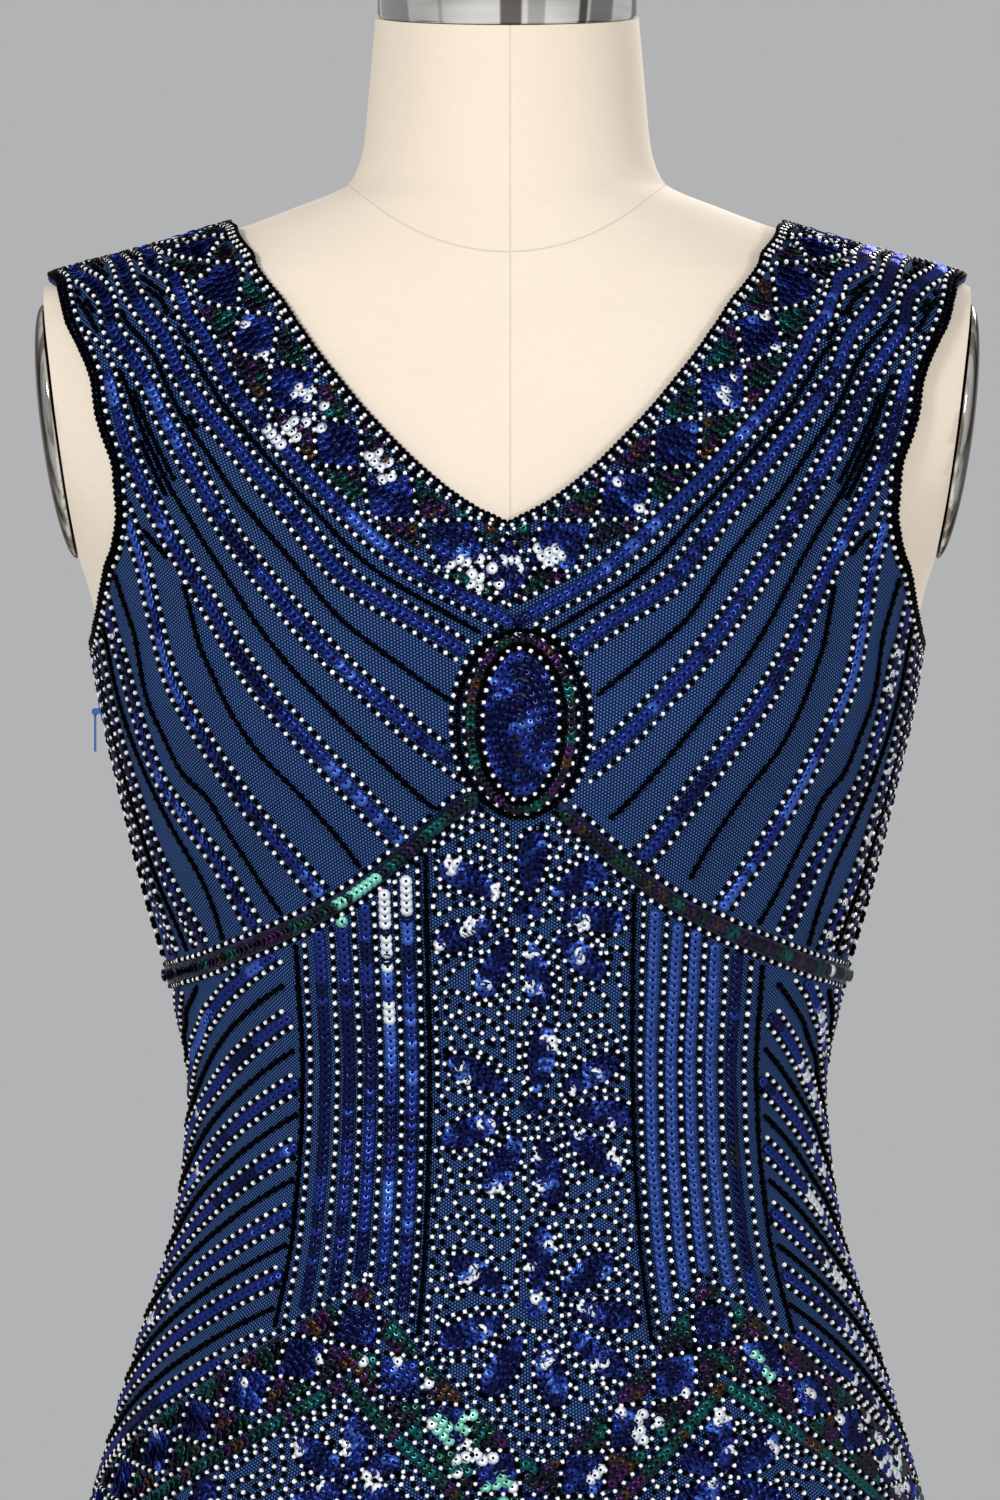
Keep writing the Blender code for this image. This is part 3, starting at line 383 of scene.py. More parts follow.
class Finish:
    # A material with its Principled shader; node() adds any other node.
    def __init__(self, name, colour, roughness, metallic=0.0, **fixed):
        self.material = bpy.data.materials.new(name)
        self.material.use_nodes = True
        self.tree = self.material.node_tree
        self.shader = self.tree.nodes["Principled BSDF"]
        self.material.diffuse_color = (*colour, 1)
        self.set("Base Color", (*colour, 1))
        self.set("Roughness", roughness)
        self.set("Metallic", metallic)
        for socket, value in fixed.items():
            self.set(socket.replace("_", " "), value)

    def set(self, socket, value):
        if isinstance(value, Value):
            self.tree.links.new(value.output, self.shader.inputs[socket])
        else:
            self.shader.inputs[socket].default_value = value

    def node(self, kind, settings=None, inputs=None, output=0):
        made = self.tree.nodes.new(kind)
        for name, value in (settings or {}).items():
            setattr(made, name, value)
        pairs = inputs.items() if isinstance(inputs, dict) else enumerate(inputs or ())
        for socket, value in pairs:
            if isinstance(value, Value):
                self.tree.links.new(value.output, made.inputs[socket])
            else:
                made.inputs[socket].default_value = value
        return Value(self, made.outputs[output])

    def place(self, kind="Object", scale=(1, 1, 1), turn=(0, 0, 0)):
        source = self.node("ShaderNodeTexCoord", output=kind)
        return self.node("ShaderNodeMapping", None, {"Vector": source, "Scale": scale, "Rotation": turn})

    def axes(self, place):
        return [self.node("ShaderNodeSeparateXYZ", None, [place], i) for i in range(3)]

    def noise(self, place, scale, detail=3.0, roughness=0.5):
        return self.node("ShaderNodeTexNoise", None,
                         {"Vector": place, "Scale": scale, "Detail": detail, "Roughness": roughness})

    def mixed(self, factor, a, b):
        return self.node("ShaderNodeMix", {"data_type": "RGBA"},
                         {"Factor": factor, 6: a if isinstance(a, Value) else (*a, 1),
                          7: b if isinstance(b, Value) else (*b, 1)}, 2)

    def bump(self, height, strength, distance):
        self.set("Normal", self.node("ShaderNodeBump", None,
                                     {"Height": height, "Strength": strength, "Distance": distance}))


netWeave = {
    "lining": (0.0005, 0.0055, 0.0380), "glow": (0.0010, 0.0085, 0.0540), "thread": (0.092, 0.190, 0.420),
    "pitch": 0.00115, "cloudSize": 22.0, "grainSize": 900.0, "relief": 0.0004,
}


def makeNetCloth():
    # Fine net over a lining: the sum of three cosines turned by 60 degrees is high at the points of a hexagonal
    # lattice, where the threads of the net cross and catch the light. The lining is lighter in soft patches.
    finish = Finish("netOverLining", netWeave["lining"], 0.62, Specular_IOR_Level=0.05)
    across, up, _ = finish.axes(finish.place("UV"))
    turns = [math.radians(a) for a in (0, 60, 120)]
    waves = [((across * math.cos(t) + up * math.sin(t)) * (2 * math.pi / netWeave["pitch"])).maths("COSINE")
             for t in turns]
    net = (waves[0] + waves[1] + waves[2]).between(-0.2, 2.2)
    cloudy = finish.noise(finish.place(), netWeave["cloudSize"], 3.0)
    fine = finish.noise(finish.place(), netWeave["grainSize"], 2.0)
    base = finish.mixed(cloudy.between(0.35, 0.68), netWeave["lining"], netWeave["glow"])
    finish.set("Base Color", finish.mixed(net * (0.55 + fine * 0.6), base, netWeave["thread"]))
    finish.set("Roughness", 0.55 + fine * 0.3)
    finish.bump(net * 0.8 + fine * 0.3, 0.30, netWeave["relief"])
    return finish.material


coverLinen = {
    "dark": (0.80, 0.690, 0.565), "pale": (0.835, 0.730, 0.605), "shade": (0.74, 0.64, 0.52),
    "seam": (0.50, 0.45, 0.38), "threadSize": 1500.0, "middleSeam": 0.0012, "seamReach": (0.0001, 0.0006),
    "neckSeam": 1.3685, "neckRise": 0.031, "neckHalfWidth": 0.064, "neckSeamEnd": (1.402, 1.404), "relief": 0.0005,
}


def makeLinen():
    # Ivory linen: upright and level threads of uneven thickness, and the pressed seams of the cover. The seam
    # round the neck rises from the middle by 0.85 of the square and 0.15 of the fourth power of its share across.
    finish = Finish("ivoryLinen", (0.80, 0.70, 0.585), 0.86, Sheen_Weight=0.38, Sheen_Roughness=0.5,
                    Sheen_Tint=(1.0, 0.93, 0.84, 1))
    x, _, z = finish.axes(finish.place())
    upright = finish.noise(finish.place(scale=(1, 1, 0.06)), coverLinen["threadSize"], 2.0)
    level = finish.noise(finish.place(scale=(0.06, 0.06, 1)), coverLinen["threadSize"], 2.0)
    cloudy = finish.noise(finish.place(), 9.0, 2.0)
    weave = upright * 0.5 + level * 0.5
    away = (x - coverLinen["middleSeam"]).maths("ABSOLUTE")
    middleSeam = (1 - away.between(*coverLinen["seamReach"])) * 0.8
    squared = (x / coverLinen["neckHalfWidth"]) * (x / coverLinen["neckHalfWidth"])
    rise = squared * (0.85 + squared * 0.15) * coverLinen["neckRise"]
    away = (z - rise - coverLinen["neckSeam"]).maths("ABSOLUTE")
    neckSeam = (1 - away.between(*coverLinen["seamReach"])) * (1 - z.between(*coverLinen["neckSeamEnd"]))
    seams = middleSeam.maths("MAXIMUM", neckSeam)
    tone = finish.mixed(cloudy.between(0.3, 0.7), coverLinen["dark"], coverLinen["pale"])
    woven = finish.mixed(weave.between(0.25, 0.75), finish.mixed(0.5, tone, coverLinen["shade"]), tone)
    finish.set("Base Color", finish.mixed(seams * 0.5, woven, coverLinen["seam"]))
    finish.set("Roughness", 0.80 + weave * 0.12)
    finish.bump(weave * 0.6 - seams * 1.6, 0.30, coverLinen["relief"])
    return finish.material


# Painted reflections on the neck cap: dark upright stripes painted into the steel's colour.
capPaintedReflections = (  # start and end by the sine of the angle from the front, depth
    (-1.1, -0.95, 0.9), (-0.93, -0.70, 0.495), (-0.48, -0.45, 0.315), (-0.05, 0.10, 0.855), (0.14, 0.26, 0.45),
    (0.50, 0.56, 0.9), (0.58, 0.75, 0.675), (0.92, 1.1, 0.9),
)


def makeSteel(name, colour, roughness, scale, spread, reflectionBands=()):
    # Brushed metal: noise drawn out along the brushing changes the roughness and the relief a little. Bands are
    # painted
    # reflections: broad dark upright stripes on the wall of a drum, as a dark room mirrored in it. They fade out on
    # its top.
    finish = Finish(name, colour, roughness, 1.0)
    lines = finish.noise(finish.place(scale=scale), 260.0, 4.0, 0.6)
    smudge = finish.noise(finish.place(), 28.0, 3.0)
    finish.set("Roughness", roughness - spread / 2 + lines * spread + smudge * 0.05)
    tone = finish.mixed(lines.between(0.3, 0.7), tuple(part * 0.86 for part in colour), colour)
    if reflectionBands:
        level = finish.node("ShaderNodeVectorMath", {"operation": "NORMALIZE"}, [finish.place(scale=(1, 1, 0))])
        across, _, _ = finish.axes(level)
        _, _, up = finish.axes(finish.node("ShaderNodeTexCoord", output="Normal"))
        wall, soft = 1 - up.between(0.3, 0.8) * 0.75, 0.012
        # Each band paints a dark reflection into the base colour.
        for start, end, depth in reflectionBands:
            inside = across.between(start - soft, start + soft) * (1 - across.between(end - soft, end + soft))
            tone = finish.mixed(inside * wall * depth, tone, (0.055, 0.045, 0.038))
    finish.set("Base Color", tone)
    finish.bump(lines, 0.12, 0.0002)
    return finish.material


def makePlateChrome():
    # Polished metal with a painted reflection: the base colour is painted dark where a face looks straight to the
    # side, as a dark room mirrored in it, and pale round the rim of the dome, with upright streaks, as floor and
    # lamps mirrored.
    finish = Finish("chromeWithPaintedReflection", (0.80, 0.79, 0.77), 0.10, 1.0, Specular_Tint=(0.20, 0.19, 0.17, 1))
    away, _, _ = finish.axes(finish.node("ShaderNodeTexCoord", output="Normal"))
    facing = away.maths("ABSOLUTE")
    streaks = finish.noise(finish.place(scale=(1, 1, 0.08)), 160.0, 3.0, 0.6)
    # Painted reflection: mirrored masks the dark painted middle, light is the pale painted rim.
    mirrored = facing.between(0.945, 0.985) * (0.72 + streaks * 0.4)
    light = finish.mixed(streaks.between(0.42, 0.58), (0.86, 0.85, 0.83), (0.30, 0.26, 0.22))
    finish.set("Base Color", finish.mixed(mirrored, light, (0.030, 0.030, 0.032)))
    finish.set("Roughness", 0.08 + streaks * 0.06)
    return finish.material


def makePaint(name, colour, roughness, metallic):
    # Satin paint or enamel: fine orange peel, faint cloudy wear.
    finish = Finish(name, colour, roughness, metallic, Coat_Weight=0.3, Coat_Roughness=0.15)
    peel = finish.noise(finish.place(), 800.0, 2.0)
    wear = finish.noise(finish.place(), 34.0, 5.0, 0.65)
    finish.set("Base Color", finish.mixed(wear.between(0.5, 0.75) * 0.5, colour, tuple(c * 0.8 for c in colour)))
    finish.set("Roughness", roughness + wear * 0.10)
    finish.bump(peel, 0.08, 0.0002)
    return finish.material


def makeTrimBase():
    # The cloth under the closely sewn sequins of the oval and the bands: dark, with a scaly shine.
    finish = Finish("trimBase", (0.010, 0.016, 0.075), 0.35, 0.4)
    scales = finish.node("ShaderNodeTexVoronoi", None, {"Vector": finish.place(), "Scale": 420.0})
    finish.set("Base Color", finish.mixed(scales.between(0.1, 0.6), (0.020, 0.034, 0.16), (0.004, 0.006, 0.03)))
    finish.set("Roughness", 0.25 + scales * 0.4)
    finish.bump(scales, 0.4, 0.0005)
    return finish.material


netCloth = makeNetCloth()
linen = makeLinen()
brushedSteel = makeSteel("brushedSteel", (0.60, 0.59, 0.57), 0.30, (1, 1, 0.03), 0.16)
capSteel = makeSteel("capSteel", (0.97, 0.96, 0.94), 0.22, (0.05, 0.05, 1), 0.14, capPaintedReflections)
chrome = makePlateChrome()
standPaint = makePaint("standPaint", (0.60, 0.59, 0.57), 0.36, 0.5)
zipEnamel = makePaint("zipEnamel", (0.045, 0.150, 0.420), 0.28, 0.1)
trimBase = makeTrimBase()
print("finishes made")


# Cloth panels.
def panelOutline(which, middle, seamSteps):
    # A bodice panel's outline laid out flat: from the middle of its neckline round the +X side to the seam, and
    # back up the other side as its mirror image.
    neck, arm = neckPaths[which], armPaths[which]
    toMiddle = np.sign(middle - cloth["sideSeam"])
    halfAngle = cloth["seamHalfGap"] / cloth["flatRadius"]
    side = cloth["sideSeam"] + halfAngle * toMiddle
    shoulder = cloth["shoulder"] + 2.2 * halfAngle * toMiddle
    neckLine = alongPath(neck, np.linspace(1, 0, 60))
    ridge = alongPath([(shoulder, neck[0][1]), (shoulder, arm[0][1])], np.linspace(0, 1, 20))
    armLine = alongPath(arm, np.linspace(0, 1, 62))
    neckLine[-1, 0] = armLine[0, 0] = shoulder
    armLine[-1, 0] = side
    seamAngles = np.linspace(side, middle, seamSteps)
    seam = np.stack([seamAngles, underbustHeight(seamAngles) + 2 * cloth["seamHalfGap"]], 1)
    sideHeights = np.linspace(arm[-1][1], seam[0, 1], 34)[1:-1]
    sideLine = np.stack([np.full_like(sideHeights, side), sideHeights], 1)
    half = np.vstack([neckLine, ridge[1:-1], armLine, sideLine, seam])
    mirrored = np.stack([2 * middle - half[:, 0], half[:, 1]], 1)
    return flattened(np.vstack([half, mirrored[::-1][1:-1]]))


outlines = {"front": panelOutline("front", 0.0, 60), "back": panelOutline("back", math.pi, 50)}


def insideFlat(laid, which):
    # A flat point counts as inside where a level line to its right crosses the outline an odd number of times.
    start = outlines[which]
    end = np.roll(start, -1, axis=0)
    above = (start[:, 1] > laid[:, 1:]) != (end[:, 1] > laid[:, 1:])
    rise = np.where(end[:, 1] == start[:, 1], 1e-12, end[:, 1] - start[:, 1])
    crossing = start[:, 0] + (laid[:, 1:] - start[:, 1]) / rise * (end[:, 0] - start[:, 0])
    return (above & (laid[:, :1] < crossing)).sum(axis=1) % 2 == 1


def cutPanel(which, middle, spacing):
    # The flat outline filled with an even lattice of triangles that keeps off its edge.
    edge = outlines[which]
    low, high = edge.min(axis=0), edge.max(axis=0)
    rows = np.arange(low[1] + spacing / 2, high[1], spacing * math.sin(math.radians(60)))
    count = int((high[0] - low[0]) / 2 / spacing) + 1
    columns = np.arange(-count, count + 1) * spacing + middle * cloth["flatRadius"]
    shift = (np.arange(len(rows)) % 2)[:, None] * spacing / 2
    lattice = np.stack([columns[None] + shift, rows[:, None] + 0 * columns[None]], -1).reshape(-1, 2)
    run = np.roll(edge, -1, axis=0) - edge
    ahead = lattice[:, None] - edge[None]
    share = np.clip((ahead * run).sum(-1) / (run**2).sum(-1), 0, 1)
    distance = np.linalg.norm(ahead - share[..., None] * run, axis=-1).min(axis=1)
    flat = np.vstack([edge, lattice[insideFlat(lattice, which) & (distance > 0.55 * spacing)]])
    result = delaunay_2d_cdt([Vector(p) for p in flat], [], [list(range(len(edge)))], 1, 1e-7)
    return np.array(result[0]), np.array([face for face in result[2] if len(face) == 3])


def makePanel(name, which, middle, spacing):
    laid, faces = cutPanel(which, middle, spacing)
    place = unflattened(laid)
    points, _ = onDress(place[:, 0], place[:, 1], cloth["clearance"])
    piece = newPiece(name, points, faces, [netCloth], slotName="beaded_cloth", uv=laid)
    thicken(piece, cloth["thickness"])
    return piece


def makeSkirtPanel(name, start, end, columns, rows):
    # Heights run evenly from the hem to the seam under the bust, on a grid round the body.
    halfAngle = cloth["seamHalfGap"] / cloth["flatRadius"]
    angles = np.linspace(start + halfAngle, end - halfAngle, columns + 1)[None]
    up = np.linspace(0, 1, rows + 1)[:, None]
    heights = cloth["hemHeight"] * (1 - up) + (underbustHeight(angles) - 2 * cloth["seamHalfGap"]) * up
    angles = np.broadcast_to(angles, heights.shape)
    points, _ = onDress(angles, heights, cloth["clearance"])
    uv = np.stack([angles * cloth["flatRadius"], heights], -1).reshape(-1, 2)
    piece = newPiece(name, points, gridFaces(rows + 1, columns + 1), [netCloth], slotName="beaded_cloth", uv=uv)
    thicken(piece, cloth["thickness"])
    return piece


seamAngle = cloth["sideSeam"]
panels = {  # each with the width and length, and the area, that it was cut to
    "bodice_front": (makePanel("bodiceFront", "front", 0.0, 0.0048), (0.470, 0.330), 0.100),
    "bodice_back": (makePanel("bodiceBack", "back", math.pi, 0.0062), (0.440, 0.320), 0.116),
    "skirt_front": (makeSkirtPanel("skirtFront", -seamAngle, seamAngle, 84, 100), (0.545, 0.735), 0.317),
    "skirt_back": (makeSkirtPanel("skirtBack", seamAngle, 2 * math.pi - seamAngle, 60, 76), (0.560, 0.662), 0.331),
}
for nodeName, (panel, _, _) in panels.items():
    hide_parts(nodeName)
print("cloth panels made")


# The dress form and its stand.
form = {
    "sides": 132, "rings": 120, "shoulderRings": (1.335, 1.425, 40), "neckTop": 1.4705, "neckTilt": 0.176,
    "armCut": (0.1815, 0.003, 1.301), "armCutTilt": math.radians(7.5), "armCutLowest": 1.185,
    "plateHalfHeight": 0.0525, "plateHalfDepth": 0.0400, "plateDome": 0.0075, "plateRim": 0.0016,
    "plateTaper": 0.12, "seamGap": 0.0003,
}
stand = {
    "capRadius": 0.0530, "drumHeight": 0.034, "flangeRadius": 0.045, "flangeTop": 0.7147,
    "flangeHeight": 0.008, "poleRadius": 0.014, "baseRadius": 0.172, "baseHeight": 0.032, "gap": 0.0003,
}


def makeForm():
    # Rings of the form's own skin, closed below and above, then cut flat at the armholes.
    angles = np.linspace(-math.pi, math.pi, form["sides"], endpoint=False)[None]
    knots = formSections[:, 0]
    heights = np.unique(np.concatenate([
        np.linspace(knots[0], knots[-1], form["rings"]), np.linspace(*form["shoulderRings"])]))[:, None]
    rings = surface(angles, heights, formSections)
    points, faces = closedRings(rings, rings[0].mean(axis=0), rings[-1].mean(axis=0))
    piece = newPiece("formCover", points, faces, [linen], slotName="form_cover")
    cover = bmesh.new()
    cover.from_mesh(piece.data)
    tilt = form["armCutTilt"]
    for hand in (-1, 1):
        middle = Vector((hand * form["armCut"][0], form["armCut"][1], form["armCut"][2]))
        away = Vector((hand * math.cos(tilt), 0, -math.sin(tilt)))
        near = [f for f in cover.faces if f.calc_center_median().z > form["armCutLowest"]]
        corners = [part for f in near for part in (*f.edges, *f.verts)]
        parts = near + list(dict.fromkeys(corners))  # each once, in the same order every time
        cut = bmesh.ops.bisect_plane(cover, geom=parts, dist=1e-6, plane_co=middle, plane_no=away,
                                     clear_outer=True)["geom_cut"]
        bmesh.ops.holes_fill(cover, edges=[e for e in cut if isinstance(e, bmesh.types.BMEdge)], sides=0)
    cover.to_mesh(piece.data)
    cover.free()
    piece.data.set_sharp_from_angle(angle=math.radians(50))
    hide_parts("form_body")


def makeArmPlate(hand, name):
    # An oval dome: a ball pressed to one depth outwards and another inwards, a little broader at its top.
    down = np.linspace(0, math.pi, 33)[1:-1][:, None]
    around = np.linspace(0, 2 * math.pi, 64, endpoint=False)[None]
    rings = np.stack([np.sin(down) * np.cos(around), np.sin(down) * np.sin(around), np.cos(down) + 0 * around], -1)
    ball, faces = closedRings(rings, (0, 0, 1), (0, 0, -1))
    depth = np.where(ball[:, 2] > 0, form["plateDome"], form["plateRim"])
    out = hand * (form["seamGap"] + form["plateRim"] + ball[:, 2] * depth)
    across = ball[:, 0] * form["plateHalfDepth"] * (1 + form["plateTaper"] * ball[:, 1])
    local = np.stack([out, across, ball[:, 1] * form["plateHalfHeight"]], -1)
    tilt = hand * form["armCutTilt"]
    turn = np.array([(math.cos(tilt), 0, math.sin(tilt)), (0, 1, 0), (-math.sin(tilt), 0, math.cos(tilt))])
    points = local @ turn.T + np.array([hand * form["armCut"][0], form["armCut"][1], form["armCut"][2]])
    piece = newPiece(name, points, fixedWinding(points, faces), [chrome], slotName="chrome")
    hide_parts({-1: "arm_plate_left", 1: "arm_plate_right"}[hand])


def makeTurned(name, node, profile, finish, slotName, steps=96, turn=np.eye(3), place=(0, 0, 0)):
    # A profile of (radius, height) rows carried round local Z as rings, its first and last rows on the axis.
    profile = np.asarray(profile, float)
    around = np.linspace(0, 2 * math.pi, steps, endpoint=False)
    radius, height = profile[1:-1, 0][:, None], profile[1:-1, 1][:, None]
    rings = np.stack([radius * np.cos(around), radius * np.sin(around), height + 0 * around], -1)
    points, faces = closedRings(rings, (0, 0, profile[0, 1]), (0, 0, profile[-1, 1]))
    points = points @ turn.T + place
    piece = newPiece(name, points, fixedWinding(points, faces), [finish], slotName=slotName)
    piece.data.set_sharp_from_angle(angle=math.radians(38))
    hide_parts(node)


def makeStand():
    radius, drum = stand["capRadius"], stand["drumHeight"]
    cap = [(0, drum + 0.030), (0.003, drum + 0.0298), (0.007, drum + 0.0285), (0.0098, drum + 0.0262),
           (0.0105, drum + 0.024), (0.0105, drum + 0.019), (0.0090, drum + 0.0160), (0.006, drum + 0.013),
           (0.0062, drum + 0.0108), (0.0085, drum + 0.0092), (0.030, drum + 0.0065), (0.048, drum + 0.0025),
           (radius - 0.0008, drum + 0.0005), (radius, drum - 0.0010), (radius, 0.0012),
           (radius - 0.0008, 0.0), (0, 0)]
    tilt = math.atan(form["neckTilt"])
    middleY = (formSections[-1, 3] - formSections[-1, 2]) / 2
    lift = np.array([0, -math.sin(tilt), math.cos(tilt)]) * form["seamGap"] * 1.5
    turn = np.array([(1, 0, 0), (0, math.cos(tilt), -math.sin(tilt)), (0, math.sin(tilt), math.cos(tilt))])
    place = np.array([0, middleY, form["neckTop"] + form["neckTilt"] * middleY]) + lift
    makeTurned("neckCap", "neck_cap", cap, capSteel, "brushed_steel", 128, turn, place)
    top, wide, gap = stand["flangeTop"], stand["flangeRadius"], stand["gap"]
    bottom = top - stand["flangeHeight"]
    flange = [(0, top), (wide - 0.001, top), (wide, top - 0.001), (wide, top - 0.004),
              (stand["poleRadius"] + 0.008, bottom), (0, bottom)]
    high, foot, slim = stand["baseHeight"], stand["baseRadius"], stand["poleRadius"]
    pole = [(0, bottom - gap), (slim, bottom - gap), (slim, high + gap), (0, high + gap)]
    base = [(0, high), (0.021, high), (0.0235, high - 0.0025), (0.026, high - 0.0145), (0.034, high - 0.0190),
            (0.110, 0.0105), (foot - 0.006, 0.0080), (foot - 0.001, 0.0060), (foot, 0.0040),
            (foot - 0.0015, 0), (0, 0)]
    makeTurned("poleFlange", "pole_flange", roundedProfile(flange), brushedSteel, "brushed_steel")
    makeTurned("pole", "pole", roundedProfile(pole), brushedSteel, "brushed_steel", 64)
    makeTurned("base", "base", roundedProfile(base, 0.0015), standPaint, "stand_paint", 160)


makeForm()
makeArmPlate(-1, "armPlateLeft")
makeArmPlate(1, "armPlateRight")
makeStand()
for nodeNames, finish in ((("zip_slider", "zip_pull"), zipEnamel),
                          (("oval_motif", "underbust_band_left", "underbust_band_right", "underbust_band_back"),
                           trimBase)):
    for nodeName in nodeNames:
        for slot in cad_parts[nodeName].material_slots:
            slot.material = finish
print("form and stand made")


# Beads and sequins: their finishes.
def beadFinish(name, colour, roughness, metallic=0.0, coat=0.0, gloss=0.5, edge=None):
    # The edge that faces away shines in the piece's own hue.
    edge = edge or tuple(0.2 + 0.8 * part / max(colour) for part in colour)
    return Finish(name, colour, roughness, metallic, Coat_Weight=coat, Coat_Roughness=0.10,
                  Specular_IOR_Level=gloss, Specular_Tint=(*edge, 1)).material


beadTones = {  # name, colour, roughness, metallic, coat, gloss, edge
    "pearl": beadFinish("silverLinedGlass", (0.96, 0.96, 0.95), 0.20, 0.05, 0.5),
    "jet": beadFinish("jetGlass", (0.0010, 0.0010, 0.0018), 0.12, 0.6, 0.0, 0.18, (0.12, 0.12, 0.15)),
}
sequinTones = {
    "navy": beadFinish("navySequin", (0.0045, 0.008, 0.062), 0.28, 0.55, 0.12, 0.2),
    "royal": beadFinish("royalSequin", (0.015, 0.034, 0.235), 0.28, 0.60, 0.12, 0.2),
    # A painted lit tone: a lighter blue for the columns on the +X side, where they catch the light.
    "paintedLitAzure": beadFinish("paintedLitAzureSequin", (0.036, 0.085, 0.360), 0.36, 0.40, 0.10, 0.2),
    "sky": beadFinish("skySequin", (0.060, 0.150, 0.640), 0.28, 0.60, 0.25, 0.2),
    # glint and mint are painted highlights: pale sequins that stand in for the lamp's glint on blue and teal
    # sequins.
    "glint": beadFinish("paintedGlintSequin", (0.860, 0.910, 1.000), 0.22, 0.10, 0.5),
    "mint": beadFinish("paintedMintGlintSequin", (0.260, 0.740, 0.600), 0.24, 0.30, 0.4),
    "emerald": beadFinish("emeraldSequin", (0.003, 0.030, 0.024), 0.24, 0.60, 0.25, 0.3),
    "teal": beadFinish("tealSequin", (0.005, 0.090, 0.095), 0.24, 0.60, 0.25, 0.3),
    "plum": beadFinish("plumSequin", (0.035, 0.009, 0.058), 0.24, 0.60, 0.25, 0.3),
    "brown": beadFinish("bronzeSequin", (0.048, 0.024, 0.013), 0.26, 0.60, 0.25, 0.3),
    "jet": beadFinish("jetSequin", (0.0025, 0.003, 0.008), 0.22, 0.20, 0.20, 0.3),
    # The hole disc is painted near-black: painted shade for the cloth seen through the hole.
    "hole": beadFinish("sequinHolePaintedShade", (0.0005, 0.001, 0.004), 0.80, 0.0, 0.0, 0.02),
}
toneNames = {"bead": list(beadTones), "sequin": list(sequinTones)}
notions = {
    "beadRadius": {"pearl": 0.00090, "jet": 0.00122}, "jetStretch": 1.10, "jetSizes": (1.18, 0.84),
    "lift": {"bead": 0.0009, "sequin": 0.00085}, "pitch": {"bead": 0.00235, "sequin": 0.0030}, "jetPitch": 0.0021,
    "room": {"bead": 0.00088, "sequin": 0.00150},  # how far each keeps others of earlier lines away
    "sequinRadius": 0.00255, "sequinLean": math.radians(11), "sequinLoose": math.radians(5),
    "holeRadius": 0.00060, "cup": 0.00042, "edgeStep": 0.0008,
}


# Laying out lines on the dress: curves are rows of (angle, height).
def real(curve):
    return surface(curve[..., 0], curve[..., 1], dressSections, True)


def pointsAt(curve, lengths, at):
    return np.stack([np.interp(at, lengths, curve[:, i]) for i in (0, 1)], -1)


def smoothLine(rows, steps=24):
    # Catmull-Rom through rows of (degrees, millimetres of height): the cubic between two rows whose slope at
    # each is half the step from the row before to the row after.
    rows = np.asarray(rows, float)
    knots = np.stack([np.radians(rows[:, 0]), rows[:, 1] / 1000], -1)
    more = np.vstack([2 * knots[0] - knots[1], knots, 2 * knots[-1] - knots[-2]])
    share = np.linspace(0, 1, steps, endpoint=False)[:, None]
    a, b, c, d = (more[i:len(more) - 3 + i][:, None] for i in range(4))
    curve = 0.5 * (2 * b + (c - a) * share + (2 * a - 5 * b + 4 * c - d) * share**2
                   + (3 * b - a - 3 * c + d) * share**3)
    return np.vstack([curve.reshape(-1, 2), knots[-1:]])


def straightLine(rows, steps=24):
    # Straight between rows of (degrees, millimetres of height).
    rows = np.asarray(rows, float)
    share = np.linspace(0, len(rows) - 1, steps * (len(rows) - 1) + 1)
    columns = [np.interp(share, np.arange(len(rows)), rows[:, i]) for i in (0, 1)]
    return np.stack([np.radians(columns[0]), columns[1] / 1000], -1)


def lengthsOf(curve):
    return np.concatenate([[0], np.cumsum(np.linalg.norm(np.diff(real(curve), axis=0), axis=1))])


def chartSteps(place, vectors):
    # The steps in angle and height that move a place by these real vectors: least squares on the two
    # directions of the surface there.
    angle, height, e = place[..., 0], place[..., 1], 1e-4
    around = (real(np.stack([angle + e, height], -1)) - real(np.stack([angle - e, height], -1))) / (2 * e)
    up = (real(np.stack([angle, height + e], -1)) - real(np.stack([angle, height - e], -1))) / (2 * e)
    aa, ab, bb = (around * around).sum(-1), (around * up).sum(-1), (up * up).sum(-1)
    va, vb = (vectors * around).sum(-1), (vectors * up).sum(-1)
    room = np.maximum(aa * bb - ab * ab, 1e-9)
    return np.stack([(va * bb - vb * ab) / room, (vb * aa - va * ab) / room], -1)


def slid(place, tangent, width):
    # Places moved sideways over the cloth by width, to the left of the tangent as seen from outside. The move is
    # made in two halves, so that it follows the bend of the cloth.
    sideways = np.cross(outward(place[:, 0], place[:, 1], dressSections, True), tangent)
    move = sideways * np.broadcast_to(width, len(place))[:, None] / 2
    half = place + chartSteps(place, move)
    return half + chartSteps(half, move)


def aside(curve, width):
    # The whole curve moved sideways by width.
    return slid(curve, unit(np.gradient(real(curve), axis=0)), width)


def spots(curve, along, across):
    # Places at a length along a curve and a distance to its left, over the cloth.
    lengths = lengthsOf(curve)
    ahead, behind = (real(pointsAt(curve, lengths, along + step)) for step in (0.0012, -0.0012))
    return slid(pointsAt(curve, lengths, along), unit(ahead - behind), across)


patternLean = {"height": (0.5, 0.954, 1.032, 1.111, 1.180, 1.218, 1.259, 1.4),
               "degrees": (4.0, 5.0, 5.0, 4.0, 2.0, 1.0, 0.0, 0.0)}


def toOtherSide(curve):
    # The same line on the wearer's other side: mirrored, then moved by the pattern's own lean at the front.
    lean = np.radians(smoothValue(curve[:, 1], patternLean["height"], patternLean["degrees"]))
    fade = np.clip(1 - (curve[:, 0] / cloth["sideSeam"]) ** 2, 0, 1)
    return np.stack([-curve[:, 0] + 2 * lean * fade, curve[:, 1]], -1)[::-1]


